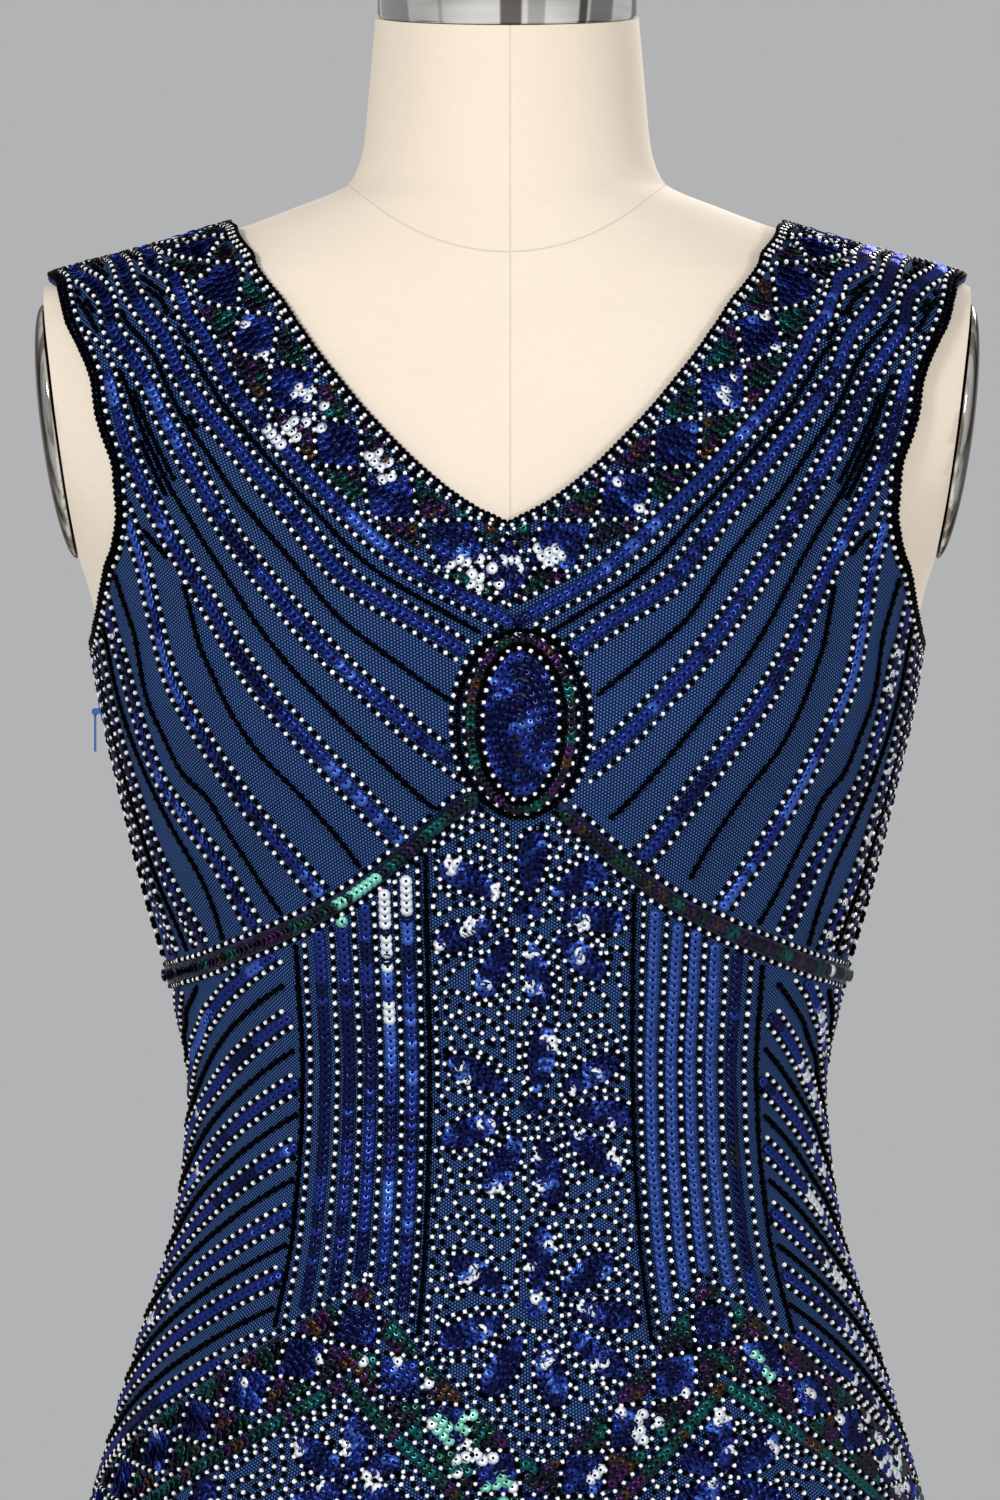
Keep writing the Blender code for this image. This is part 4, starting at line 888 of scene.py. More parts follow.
def halfWay(one, other, share=0.5):
    # A curve between two: equal shares of their lengths are joined.
    at = np.linspace(0, 1, 200)
    first, second = (pointsAt(curve, lengths, at * lengths[-1])
                     for curve, lengths in ((one, lengthsOf(one)), (other, lengthsOf(other))))
    return first * (1 - share) + second * share


# Where the beadwork may lie.
def insideOutline(place, which):
    return insideFlat(flattened(place), which)


def farFrom(place, line, distance):
    gaps = np.linalg.norm(real(place)[:, None] - real(line)[None], axis=-1).min(axis=1)
    return gaps > distance


def otherBack(line):
    # The same line on the wearer's other side of the back.
    return np.stack([2 * math.pi - line[:, 0], line[:, 1]], -1)


neckLines = {
    "frontLeft": alongPath(neckPaths["front"], np.linspace(0, 1, 90)) * (-1, 1),
    "frontRight": alongPath(neckPaths["front"], np.linspace(0, 1, 90)),
    "back": alongPath(neckPaths["back"], np.linspace(0, 1, 90)),
}
neckLines["backLeft"] = otherBack(neckLines["back"])[::-1]
armLines = {
    "frontRight": alongPath(armPaths["front"], np.linspace(0, 1, 110)),
    "backRight": alongPath(armPaths["back"], np.linspace(0, 1, 110)),
}
armLines["frontLeft"] = armLines["frontRight"] * (-1, 1)
armLines["backLeft"] = otherBack(armLines["backRight"])
zipSlider = {"height": 1.1870, "halfHeight": 0.0058, "reach": 0.0040}  # with the room that its beads leave
oval = {
    "centre": (0.0053, 1.1804), "halfSize": (0.0240, 0.0350), "padHalfSize": (0.0160, 0.0290), "lift": 0.0011,
    "depth": 0.0016, "padRings": (0.10, 0.30, 0.50, 0.70, 0.88), "padPitch": 0.0032, "rimPitch": 0.0024,
}


def ovalReach(place):
    x = real(place)[:, 0]
    return np.hypot((x - oval["centre"][0]) / oval["halfSize"][0],
                    (place[:, 1] - oval["centre"][1]) / oval["halfSize"][1])


def aboveSeam(place, margin=0.0072):
    return place[:, 1] > underbustHeight(place[:, 0]) + margin


def belowSeam(place, margin=0.0072):
    return place[:, 1] < underbustHeight(place[:, 0]) - margin


def onBodice(neckMargin=0.0275, armMargin=0.0052, seamMargin=0.0072):
    def keep(place):
        good = aboveSeam(place, seamMargin) & insideOutline(place, "front") & (ovalReach(place) > 1.09)
        for name in ("frontLeft", "frontRight"):
            good &= farFrom(place, neckLines[name], neckMargin) & farFrom(place, armLines[name], armMargin)
        return good
    return keep


def clearOfOval(reach):
    return lambda place: ovalReach(place) > reach


def clearOfZip(place):
    # Off the slider in the side seam on the wearer's right.
    across = np.abs(place[:, 0] + cloth["sideSeam"]) * cloth["flatRadius"]
    return (across > zipSlider["reach"]) | (np.abs(place[:, 1] - zipSlider["height"]) > zipSlider["halfHeight"])


# Sewing.
sewn = []  # one dictionary for each line of beads or sequins
taken = {}  # cells of the cloth with what already lies in them
cellSize = 0.0030
seedBeads, jetBeads = ("pearl", "jet"), ("jet",)


def cellsRound(cells, size, point):
    # What lies in a point's cell and in the 26 around it.
    x, y, z = (math.floor(value / size) for value in point)
    return (item for i in (-1, 0, 1) for j in (-1, 0, 1) for k in (-1, 0, 1)
            for item in cells.get((x + i, y + j, z + k), ()))


def roomFor(points, reach, row):
    # Keeps a point only where nothing of an earlier line lies closer than the two reaches together.
    kept = np.zeros(len(points), bool)
    for i, point in enumerate(points.tolist()):
        if not any(otherRow != row and math.dist(point, other) < reach + otherReach
                   for other, otherReach, otherRow in cellsRound(taken, cellSize, point)):
            kept[i] = True
            cell = tuple(math.floor(value / cellSize) for value in point)
            taken.setdefault(cell, []).append((point, reach, row))
    return kept


def sew(curve, kind, tones, piece, keep=None, pitch=None, start=0.0, lift=0.0, free=False, plain=False, size=1.0,
        slack=1.0, lengths=None):
    # Beads or sequins along a curve, an even real distance apart, or apart by the lengths of another curve beside
    # it. tones is a list of names that repeats, or a function of the places that gives one tone each.
    pitch = pitch or notions["pitch"][kind]
    lengths = lengthsOf(curve) if lengths is None else lengths
    if lengths[-1] < pitch:
        return
    at = np.arange(start, lengths[-1], pitch)
    place, ahead, behind = (pointsAt(curve, lengths, at + step)
                            for step in (0, notions["edgeStep"], -notions["edgeStep"]))
    order = np.arange(len(at))
    if keep is not None:
        good = keep(place)
        place, ahead, behind, order = place[good], ahead[good], behind[good], order[good]
    if len(place) and not free:
        good = roomFor(real(place), notions["room"][kind] * slack, len(sewn))
        place, ahead, behind, order = place[good], ahead[good], behind[good], order[good]
    if not len(place):
        return
    names = toneNames[kind]
    sewn.append({
        "piece": piece, "kind": kind, "plain": plain, "place": place, "direction": real(ahead) - real(behind),
        "tone": tones(place) if callable(tones) else np.array([names.index(t) for t in tones])[order % len(tones)],
        "lift": np.full(len(place), lift + notions["lift"][kind]),
        "size": np.atleast_1d(size)[order % np.size(size)]})


# Painted highlights: sequins near these places take a pale tone (glint, mint or sky) that stands in for the lamp's
# glint on them.
paintedGlints = (  # degrees, millimetres of height, reach in millimetres, chance, tone: where sequins catch the lamp
    (-15.5, 1281, 6, 1.00, "glint"), (-22, 1301, 5, 0.60, "glint"), (-26, 1293, 6, 1.00, "glint"),
    (-5, 1240, 7, 1.00, "glint"), (-1, 1247, 5, 0.80, "glint"), (6, 1248, 4, 0.70, "glint"),
    (-19.3, 1113, 4, 1.00, "glint"), (-19.4, 1105, 4, 1.00, "glint"), (-19.5, 1097, 4, 1.00, "glint"),
    (-19.8, 1089, 4, 0.90, "glint"), (-20.2, 1067, 4, 0.90, "glint"), (-20.4, 1056, 5, 0.60, "sky"),
    (-15.4, 1122, 4, 1.00, "glint"), (-15.8, 1113, 4, 0.90, "glint"), (-16.0, 1102, 4, 0.80, "sky"),
    (-20.1, 1078, 5, 0.90, "sky"), (-24.3, 1118, 6, 0.90, "mint"), (-21.6, 1123, 6, 0.90, "mint"),
    (-21, 932, 5, 0.70, "glint"), (-12, 916, 6, 0.80, "glint"), (-5, 892, 7, 0.80, "glint"),
    (12, 886, 5, 0.60, "glint"), (19, 903, 5, 0.70, "glint"), (-27, 1111, 6, 0.90, "mint"),
    (-8, 905, 7, 0.70, "mint"), (-2, 882, 6, 0.60, "mint"), (40, 930, 5, 0.50, "mint"),
    (69, 1058, 13, 0.70, "glint"), (72, 1034, 13, 0.70, "glint"), (74, 1008, 13, 0.65, "glint"),
    (69, 982, 14, 0.75, "glint"), (73, 955, 14, 0.75, "glint"), (74, 926, 14, 0.70, "glint"),
    (71, 894, 15, 0.75, "glint"), (74, 866, 15, 0.60, "glint"), (66, 1100, 10, 0.50, "glint"),
    (-67, 1215, 8, 0.60, "glint"), (66, 1205, 10, 0.60, "glint"), (70, 1168, 12, 0.60, "glint"),
    (74, 1130, 12, 0.60, "glint"), (-72, 1000, 12, 0.35, "glint"), (-74, 940, 12, 0.35, "glint"),
    (11, 1158, 5, 0.90, "glint"), (9, 1150, 4, 0.60, "mint"),
)


def scatter(weights, patch=0.018, loose=0.11, withPaintedGlints=True):
    # Tones in small patches: each place takes a tone by its share, moved by a slow wave over the cloth, and
    # a few near a painted glint take its tone as a painted highlight: its chance times e to minus the squared
    # distance in reaches.
    names = [toneNames["sequin"].index(name) for name, _ in weights]
    shares = np.cumsum([w for _, w in weights]) / sum(w for _, w in weights)

    def pick(place):
        spot = place / (patch / cloth["flatRadius"], patch)
        wave = np.sin(spot[:, 0] * 2.1 + 1.7 * np.sin(spot[:, 1] * 1.3)) * np.sin(spot[:, 1] * 1.9 + 0.8)
        value = np.clip(0.5 + 0.45 * wave + dice.normal(0, loose, len(place)), 0, 0.9999)
        tone = np.array(names)[np.searchsorted(shares, value, side="right").clip(0, len(names) - 1)]
        for middle, height, reach, chance, name in paintedGlints if withPaintedGlints else ():
            away = np.hypot((place[:, 0] - math.radians(middle)) * cloth["flatRadius"], place[:, 1] - height / 1000)
            lit = dice.random(len(place)) < chance * np.exp(-((away / (reach / 1000)) ** 2))
            tone = np.where(lit, toneNames["sequin"].index(name), tone)
        return tone
    return pick


# In these mixes glint is a painted highlight spread at random; the other tones are the sequins' own colours.
blueStrip = scatter([("sky", 0.12), ("royal", 0.60), ("navy", 0.28)], 0.030)
darkStrip = scatter([("royal", 0.30), ("navy", 0.65), ("jet", 0.05)], 0.030)
brightStrip = scatter([("sky", 0.35), ("royal", 0.45), ("navy", 0.20)], 0.030)
scaleBlue = scatter([("glint", 0.06), ("sky", 0.10), ("royal", 0.30), ("navy", 0.54)], 0.010, 0.14)
iridescent = scatter([("teal", 0.12), ("emerald", 0.25), ("jet", 0.28), ("plum", 0.19), ("brown", 0.16)], 0.008)
tealStrip = scatter([("teal", 0.48), ("emerald", 0.20), ("plum", 0.17), ("brown", 0.15)], 0.010)
ovalBlue = scatter([("sky", 0.10), ("royal", 0.35), ("navy", 0.55)], 0.008)
plainBlue = scatter([("royal", 0.50), ("navy", 0.50)], 0.030, 0.11, False)


def sewJets(curve, piece, keep):
    # Every second bead is larger.
    sew(curve, "bead", jetBeads, piece, keep, pitch=notions["jetPitch"], size=notions["jetSizes"], slack=1.4)


def sewStrip(curve, tones, piece, keep, width=0.0036, endWidth=None, free=False, plain=False):
    # A line of sequins with a line of seed beads along each side.
    widths = np.linspace(width, endWidth or width, len(curve))
    sew(curve, "sequin", tones, piece, keep, free=free, plain=plain)
    for turn in (-1, 1):
        sew(aside(curve, turn * widths), "bead", seedBeads, piece, keep, free=free, plain=plain)


def sewBoth(curve, *how, **more):
    # The same line on both sides of the front.
    for line in (curve, toOtherSide(curve)):
        sew(line, *how, **more)


lattice = {"beadPitch": 0.0023, "rowPitch": 0.0034, "scalePitch": 0.0031, "inside": 0.84, "outside": 1.17}


def tent(along, phase, pitch):
    # 0 at each diamond's centre, rising straight to 1 halfway to the next.
    steps = (along - phase) / pitch
    return 2 * np.abs(steps - np.rint(steps))


def sewLattice(curve, side, middle, halfWidth, reach, pitch, phase, keep, piece, last=9.0):
    # A band of diamonds along a curve: seed beads on the two edges middle +- halfWidth times 1 less the tent, and
    # sequins laid like scales inside and between the diamonds.
    dense = np.arange(0, lengthsOf(curve)[-1], 0.0006)
    part = dense[dense < last]
    for turn in (-1, 1):
        edge = spots(curve, part, side * (middle + turn * halfWidth * (1 - tent(part, phase, pitch))))
        sew(edge, "bead", seedBeads, piece, keep, pitch=lattice["beadPitch"])
    for i, across in enumerate(np.arange(reach[0], reach[1], lattice["rowPitch"])):
        line = spots(curve, dense, side * across)
        for tones, low, high in ((scaleBlue, -1, lattice["inside"]), (iridescent, lattice["outside"], 9)):
            def keepScale(place, low=low, high=high, line=real(line[::3]), across=across):
                near = dense[::3][np.linalg.norm(real(place)[:, None] - line[None], axis=-1).argmin(axis=1)]
                out = np.where(near > last, 1.25, tent(near, phase, pitch)) + abs(across - middle) / halfWidth
                return (out > low) & (out < high) & keep(place)
            sew(line, "sequin", tones, piece, keepScale, pitch=lattice["scalePitch"],
                start=lattice["scalePitch"] / 2 * (i % 2), slack=0.55)


# The front of the bodice. Strips and black lines of the left half: degrees round the body and millimetres of
# height, from the shoulder down. The first strip follows the neck band.
strips = {
    2: ((-90, 1370), (-57, 1362), (-42, 1340), (-38, 1319), (-33, 1295), (-28, 1267), (-22, 1238), (-13, 1221),
        (-6, 1208)),
    3: ((-90, 1367.3), (-56, 1355), (-47, 1333), (-42, 1311), (-39, 1281), (-36, 1249), (-27, 1214), (-18, 1189),
        (-12, 1174), (-6, 1162)),
    4: ((-90, 1363.6), (-68, 1358), (-52, 1331), (-48, 1307), (-48, 1282), (-47, 1250), (-42, 1222), (-36, 1196),
        (-27, 1168), (-16, 1135), (-13, 1128)),
    5: ((-53, 1274), (-54, 1264), (-55, 1248), (-55, 1226), (-53, 1200), (-48, 1178), (-41, 1151), (-30, 1115),
        (-27, 1105)),
    6: ((-69, 1240), (-68, 1216), (-66, 1205), (-63, 1177), (-60, 1157), (-56, 1146), (-49, 1126), (-44, 1100),
        (-43, 1094)),
    7: ((-76, 1228), (-75.5, 1200), (-73, 1170), (-70, 1145), (-66, 1122), (-60, 1100), (-58, 1088)),
    8: ((-82.5, 1217), (-82, 1190), (-80, 1160), (-77.5, 1130), (-74, 1104), (-72, 1086)),
}
jetLines = (
    ((-53, 1262), (-50, 1249), (-48, 1240), (-47, 1226), (-46, 1212), (-44, 1200), (-41, 1184), (-37, 1169),
     (-32, 1156), (-28, 1144), (-25, 1134), (-22, 1122)),
    ((-63, 1240), (-62, 1226), (-61, 1215), (-60, 1192), (-57, 1176), (-54, 1162), (-49, 1152), (-46, 1140),
     (-43, 1128), (-40, 1115), (-37, 1103)),
    ((-72.5, 1232), (-71.5, 1205), (-69, 1182), (-65, 1160), (-60, 1140), (-55, 1122), (-53, 1108), (-52.5, 1094)),
)


def sewOval():
    # Rings of sequins in ellipses inside the oval, then its beads and the sparkling rim. A share of 1 is the edge
    # of the pad, and 2 is that of the oval.
    angle = np.linspace(0, 2 * math.pi, 400)

    def ring(share):
        halfX, halfZ = (inner * share if share <= 1 else inner + (outer - inner) * (share - 1)
                        for inner, outer in zip(oval["padHalfSize"], oval["halfSize"]))
        x, height = oval["centre"][0] + halfX * np.sin(angle), oval["centre"][1] + halfZ * np.cos(angle)
        return np.stack([angleAt(x, height), height], -1)

    def padLift(share):
        reach = min(share, 1) * 0.8 if share <= 1 else 0.8 + 0.2 * (share - 1)
        return oval["lift"] + oval["depth"] * (0.5 + 0.5 * math.sqrt(max(0, 1 - reach**2)))

    for share in oval["padRings"]:
        sew(ring(share), "sequin", ovalBlue, "bodiceFront", lift=padLift(share), pitch=oval["padPitch"], free=True)
    sew(ring(1.0), "bead", seedBeads, "bodiceFront", lift=padLift(1.0), free=True)
    sew(ring(1.25), "bead", jetBeads, "bodiceFront", lift=padLift(1.25), free=True)
    sew(ring(1.58), "sequin", iridescent, "bodiceFront", lift=padLift(1.58), pitch=oval["rimPitch"], free=True)
    sew(ring(1.90), "bead", seedBeads, "bodiceFront", lift=padLift(1.9) - 0.0004, free=True)
    sew(ring(2.22), "bead", jetBeads, "bodiceFront")
    sew(ring(2.50), "bead", seedBeads, "bodiceFront", lambda place: aboveSeam(place, 0.004))


neckBand = {  # metres inwards from the neck edge, or along it
    "middle": 0.0176, "halfWidth": 0.0122, "reach": (0.0050, 0.0320), "pitch": 0.0285, "lastDiamond": 0.0131,
    "outer": 0.0040, "stripKnots": (0, 0.03, 0.08, 0.17), "stripAt": (0.0335, 0.0362, 0.0370, 0.0347),
    "centre": (0.0, 1.2395), "centreHalf": (0.0112, 0.0145), "centreRows": 0.0031, "centreInside": 0.78,
    "rows": ((0.0006, jetBeads, 0.85), (0.0021, seedBeads, 0.92), (0.0038, seedBeads, 0.92)), "dense": 0.0008,
}


def centreReach(place, grow=0.0):
    x = real(place)[:, 0] - neckBand["centre"][0]
    return (np.abs(x) / (neckBand["centreHalf"][0] + grow)
            + np.abs(place[:, 1] - neckBand["centre"][1]) / (neckBand["centreHalf"][1] + grow))


def pastPoint(name):
    # A neck edge, drawn on past the point of the V for the cloth under it.
    curve = neckLines[name]
    ahead = curve[-1] + (curve[-1] - curve[-4]) * 6
    return np.vstack([curve, curve[-1:] + (ahead - curve[-1]) * np.linspace(0.2, 1.9, 9)[:, None]])


def firstStrip(along):
    # How far the first strip runs from the neck edge, by the length along it.
    return smoothValue(along, neckBand["stripKnots"], neckBand["stripAt"])


def sewNeckBand():
    halfX, halfZ = neckBand["centreHalf"]
    x0, z0 = neckBand["centre"]
    corners = np.array([(0, 1), (1, 0), (0, -1), (-1, 0), (0, 1)], float)
    share = np.linspace(0, 4, 200)
    x, z = (np.interp(share, np.arange(5), corners[:, i]) for i in (0, 1))
    diamond = np.stack([angleAt(x0 + halfX * x, z0 + halfZ * z), z0 + halfZ * z], -1)
    sew(diamond, "bead", seedBeads, "bodiceFront", pitch=0.0022)
    for drop in np.arange(-halfZ + 0.003, halfZ - 0.002, neckBand["centreRows"]):
        across = np.linspace(-halfX, halfX, 60)
        row = np.stack([angleAt(x0 + across, z0 + drop), np.full(60, z0 + drop)], -1)
        sew(row, "sequin", scaleBlue, "bodiceFront", lambda place: centreReach(place) < neckBand["centreInside"],
            pitch=0.0026, start=0.0013 * (round(drop / neckBand["centreRows"]) % 2), slack=0.62)
    for name, side in (("frontLeft", -1), ("frontRight", 1)):
        curve = pastPoint(name)
        dense = np.arange(0, lengthsOf(curve)[-1], neckBand["dense"])
        outer = firstStrip(dense) - neckBand["outer"]
        lastDiamond = lengthsOf(neckLines[name])[-1] - neckBand["lastDiamond"]
        scaleEdge = real(spots(curve, dense, side * (outer - 0.0016))[::3])

        def keep(place):
            return ((side * place[:, 0] > -0.002) & insideOutline(place, "front") & (ovalReach(place) > 1.16)
                    & (centreReach(place, 0.0012) > 1))

        def keepScales(place):
            # On the neck's side of the outer row.
            gaps = real(place)[:, None] - scaleEdge[None]
            nearest = np.linalg.norm(gaps, axis=-1).argmin(axis=1)
            inward = (real(curve).mean(axis=0) * (0, 1, 1) + (0, 0, 0.2) - scaleEdge)[nearest]
            return keep(place) & ((gaps[np.arange(len(place)), nearest] * inward).sum(-1) > 0)

        for across, tones, size in neckBand["rows"]:
            sew(spots(curve, dense, side * across), "bead", tones, "bodiceFront", keep, lengths=dense, slack=0.75,
                size=size)
        sew(spots(curve, dense, side * outer), "bead", seedBeads, "bodiceFront", keep)
        sewLattice(curve, side, neckBand["middle"], neckBand["halfWidth"], neckBand["reach"], neckBand["pitch"],
                   lastDiamond, keepScales, "bodiceFront", last=lastDiamond + neckBand["pitch"] / 2)


# Rows of beads along the arm edges and the neck at the back: metres from the edge inwards.
edgeRows = ((0.0012, jetBeads), (0.0033, jetBeads), (0.0055, seedBeads))
neckRows = ((0.0012, seedBeads), (0.0033, jetBeads), (0.0055, seedBeads))


def sewArmEdges():
    for name, line in armLines.items():
        front = name.startswith("front")
        which = "front" if front else "back"
        # From the shoulder down: on the wearer's right the cloth is to the left of the line in front.
        turn = 1 if name.endswith("Left") == front else -1
        dense = np.arange(0, lengthsOf(line)[-1], 0.0008)
        for across, tones in edgeRows:
            sew(spots(line, dense, turn * across), "bead", tones, "bodice" + which.capitalize(),
                lambda place: insideOutline(place, which), plain=not front)


seedWidth = {"share": (0, 0.25, 1), "away": (0.0034, 0.0037, 0.0043)}  # seed beads beside a strip
outerRow = ((-86.2, 1214), (-86.2, 1180), (-86.0, 1140), (-85.5, 1100), (-85.0, 1086))


def sewBodiceFront():
    keep, lineKeep = onBodice(), onBodice(0.0300)
    curves = {key: smoothLine(rows) for key, rows in strips.items()}
    neckCurve = pastPoint("frontLeft")
    dense = np.arange(0, lengthsOf(neckCurve)[-1], 0.0012)
    first = spots(neckCurve, dense, -firstStrip(dense))
    curves[1] = first[first[:, 0] < 0.004]
    tones = {5: brightStrip, 7: darkStrip, 8: darkStrip}
    for key, curve in curves.items():
        sewBoth(curve, "sequin", tones.get(key, blueStrip), "bodiceFront", keep)
    for key, curve in curves.items():
        grown = np.interp(np.linspace(0, 1, len(curve)), seedWidth["share"], seedWidth["away"])
        for turn in (-1,) if key == 1 else (-1, 1):
            sewBoth(aside(curve, turn * grown), "bead", seedBeads, "bodiceFront", keep)
    blacks = [halfWay(curves[a], curves[a + 1]) for a in (1, 2, 3)]
    blacks += [halfWay(curves[a], curves[a + 1], share)[:90] for a in (1, 2, 3) for share in (0.36, 0.64)]
    blacks += [smoothLine(rows) for rows in jetLines]
    blacks += [halfWay(curves[7], curves[8])]
    for curve in blacks:
        for line in (curve, toOtherSide(curve)):
            sewJets(line, "bodiceFront", lineKeep)
    for share in (0.25, 0.75):
        sewBoth(halfWay(curves[7], curves[8], share), "bead", seedBeads, "bodiceFront", keep)
    for width in (0, 0.0026, 0.0052):
        sewBoth(aside(smoothLine(outerRow), -width), "bead", ("pearl", "jet", "jet"), "bodiceFront",
                lambda place: keep(place) & clearOfZip(place), size=1.15)


# The seam under the bust.
underbust = {  # runs of the band in degrees with their piece and whether they are plain
    "runs": ((-86, -5, "bodiceFront", False), (9, 86, "bodiceFront", False), (88, 272, "bodiceBack", True)),
    "lift": 0.0016, "pitch": 0.0024, "beads": 0.0046, "arch": (-9, 13),
}


def sewUnderbust():
    for start, end, piece, plain in underbust["runs"]:
        angles = np.radians(np.linspace(start, end, 300))
        curve = np.stack([angles, underbustHeight(angles)], -1)
        sew(curve, "sequin", iridescent, piece, clearOfOval(1.07), lift=underbust["lift"], free=True, plain=plain,
            pitch=underbust["pitch"])
        for across in (-underbust["beads"], underbust["beads"]):
            sew(aside(curve, across), "bead", seedBeads, piece, clearOfOval(1.05), plain=plain)
    arch = np.radians(np.linspace(*underbust["arch"], 60))
    curve = np.stack([arch, underbustHeight(arch)], -1)
    for across, tones in ((-0.0048, seedBeads), (-0.0024, jetBeads)):
        sew(aside(curve, across), "bead", tones, "skirtFront", clearOfOval(1.12))


# The waist and hips.
zigzagNodes = ((-180, 860), (-125, 925), (-87, 849), (-24, 943), (4.6, 872), (34, 943), (87, 849), (125, 925),
               (180, 860))
zigzag = {  # metres square across the band from its middle; the border runs below it
    "above": 0.0142, "below": 0.0212, "halfWidth": 0.0112, "reach": (-0.0104, 0.0126), "pitch": 0.0262,
    "strip": -0.0172, "rows": (0.0142, -0.0134, -0.0210), "border": 0.0860, "borderMargin": 0.0062,
    "flowerDrop": 0.055,
}


def zigzagHeight(angle):
    nodes = np.array(zigzagNodes, float)
    return np.interp(np.degrees(turnedFrom(0.0, angle)), nodes[:, 0], nodes[:, 1] / 1000)


def zigzagSlope(angle):
    # How much taller the band stands in height than square across it: 1 / cos of its slope.
    rise = (zigzagHeight(angle + 0.02) - zigzagHeight(angle - 0.02)) / 0.04
    return np.sqrt(1 + (rise / 0.155) ** 2)


def aboveZigzag(place, margin=0.0018):
    return place[:, 1] > zigzagHeight(place[:, 0]) + (zigzag["above"] + margin) * zigzagSlope(place[:, 0])


def belowZigzag(place, margin=0.0018):
    return place[:, 1] < zigzagHeight(place[:, 0]) - (zigzag["below"] + margin) * zigzagSlope(place[:, 0])


def onWaist(place):
    return belowSeam(place) & aboveZigzag(place)


# Columns: degrees at 1098 mm and from 1031 mm down, kind of line.
columnHeights = (1.031, 1.098, 1.160)
columns = (
    (-36.0, -39.2, "jet"), (-34.2, -37.4, "seed"), (-31.4, -34.2, "royal"), (-29.0, -31.6, "seed"),
    (-27.0, -29.2, "royal"), (-25.0, -27.0, "seed"), (-23.0, -25.0, "royal"), (-21.4, -22.9, "seed"),
    (-19.6, -20.9, "bright"), (-17.8, -18.9, "seed"), (-16.0, -17.0, "bright"), (-14.2, -15.2, "seed"),
    (-12.9, -13.9, "jet"),
    (20.4, 22.8, "jet"), (22.0, 24.2, "seed"), (24.0, 26.2, "sky"), (26.0, 28.2, "seed"), (28.0, 30.2, "sky"),
    (29.7, 32.2, "seed"), (31.4, 34.2, "sky"), (33.2, 36.4, "seed"), (35.2, 38.8, "sky"), (37.6, 41.2, "seed"),
    (40.0, 43.8, "navy"), (43.0, 47.0, "seed"), (45.6, 50.4, "jet"),
)
# The sky columns on the +X side take one lighter blue finish, a painted lit tone: lit copies of the royal and navy
# sequins of the columns on the other side.
columnTones = {
    "royal": scatter([("royal", 0.34), ("navy", 0.66)], 0.060), "navy": darkStrip,
    "bright": scatter([("sky", 0.12), ("royal", 0.40), ("navy", 0.48)], 0.035),
    "sky": scatter([("paintedLitAzure", 1.0)], 0.050),
}


def sewColumns():
    heights = np.linspace(1.160, 0.905, 160)
    for upper, lower, kind in columns:
        angle = np.interp(heights, columnHeights, (lower, upper, 1.9 * upper - 0.9 * lower))
        curve = np.stack([np.radians(angle), heights], -1)
        if kind == "jet":
            sewJets(curve, "skirtFront", onWaist)
        elif kind == "seed":
            sew(curve, "bead", seedBeads, "skirtFront", onWaist)
        else:
            sew(curve, "sequin", columnTones[kind], "skirtFront", onWaist)


diagonals = {  # degrees at both ends of each side, and heights of the strips at the inner end
    "ends": {-1: (-40.6, -86.4), 1: (51.6, 86.4)}, "drop": 0.062, "blackDrop": 0.0130, "widths": (0.0036, 0.0040),
    "heights": (1.118, 1.090, 1.064, 1.038, 1.012, 0.986, 0.961, 0.936, 0.911, 0.886),
}


def sewDiagonals():
    # Lines that run down and out from the columns to the side seam: a drop that starts steeply.
    share = np.linspace(0, 1, 90)
    drop = diagonals["drop"] * (0.8 * share + 0.2 * share**2)
    for inner, outer in diagonals["ends"].values():
        angles = np.radians(inner + (outer - inner) * share)
        for i, height in enumerate(diagonals["heights"]):
            sewStrip(np.stack([angles, height - drop], -1), brightStrip if i == 1 else blueStrip, "skirtFront",
                     onWaist, *diagonals["widths"])
        for height in diagonals["heights"]:
            sewJets(np.stack([angles, height - diagonals["blackDrop"] - drop], -1), "skirtFront", onWaist)


petal = {"halfLength": 0.0144, "halfWidth": 0.0072, "insets": (0.0029, 0.0060), "pitch": 0.0031, "slack": 0.50}
flowerTurns = ((84, 0.0185), (151, 0.0250), (202, 0.0260), (242, 0.0260), (280, 0.0265), (320, 0.0290),
               (353, 0.0265), (31, 0.0245))  # each petal's degrees and distance from the heart
flowers = ((3, 1108), (5, 1030), (4.5, 951))
bandFlowers = (-70, -46, -22, 5, 32, 58, 78)  # degrees
bandTurns = ((90, 0.014), (150, 0.016), (30, 0.016), (210, 0.016), (330, 0.016), (270, 0.014))
petalTones = scatter([("glint", 0.10), ("sky", 0.14), ("royal", 0.26), ("navy", 0.50)], 0.007, 0.16)


def shiftedFrom(centre, turn, out, across):
    # Places a real distance out and across from a centre, by its own direction on the cloth.
    sine, cosine = math.sin(math.radians(turn)), math.cos(math.radians(turn))
    around, up = out * cosine - across * sine, out * sine + across * cosine
    middle = np.array([math.radians(centre[0]), centre[1] / 1000])
    steps = real(np.array([[middle[0] + 1e-3, middle[1]], [middle[0], middle[1] + 1e-3]])) - real(middle)
    perRadian, perMetre = np.linalg.norm(steps, axis=-1) / 1e-3
    return np.stack([middle[0] + around / perRadian, middle[1] + up / perMetre], -1)


def petalAt(centre, turn, distance, inset=0.0):
    # A drop-shaped ring: half width times the sine, thinner towards the flower's middle.
    angle = np.linspace(0, 2 * math.pi, 120)
    out = distance + (petal["halfLength"] - inset) * np.cos(angle)
    across = (petal["halfWidth"] - inset) * np.sin(angle) * (0.85 + 0.25 * np.cos(angle))
    return shiftedFrom(centre, turn, out, across)


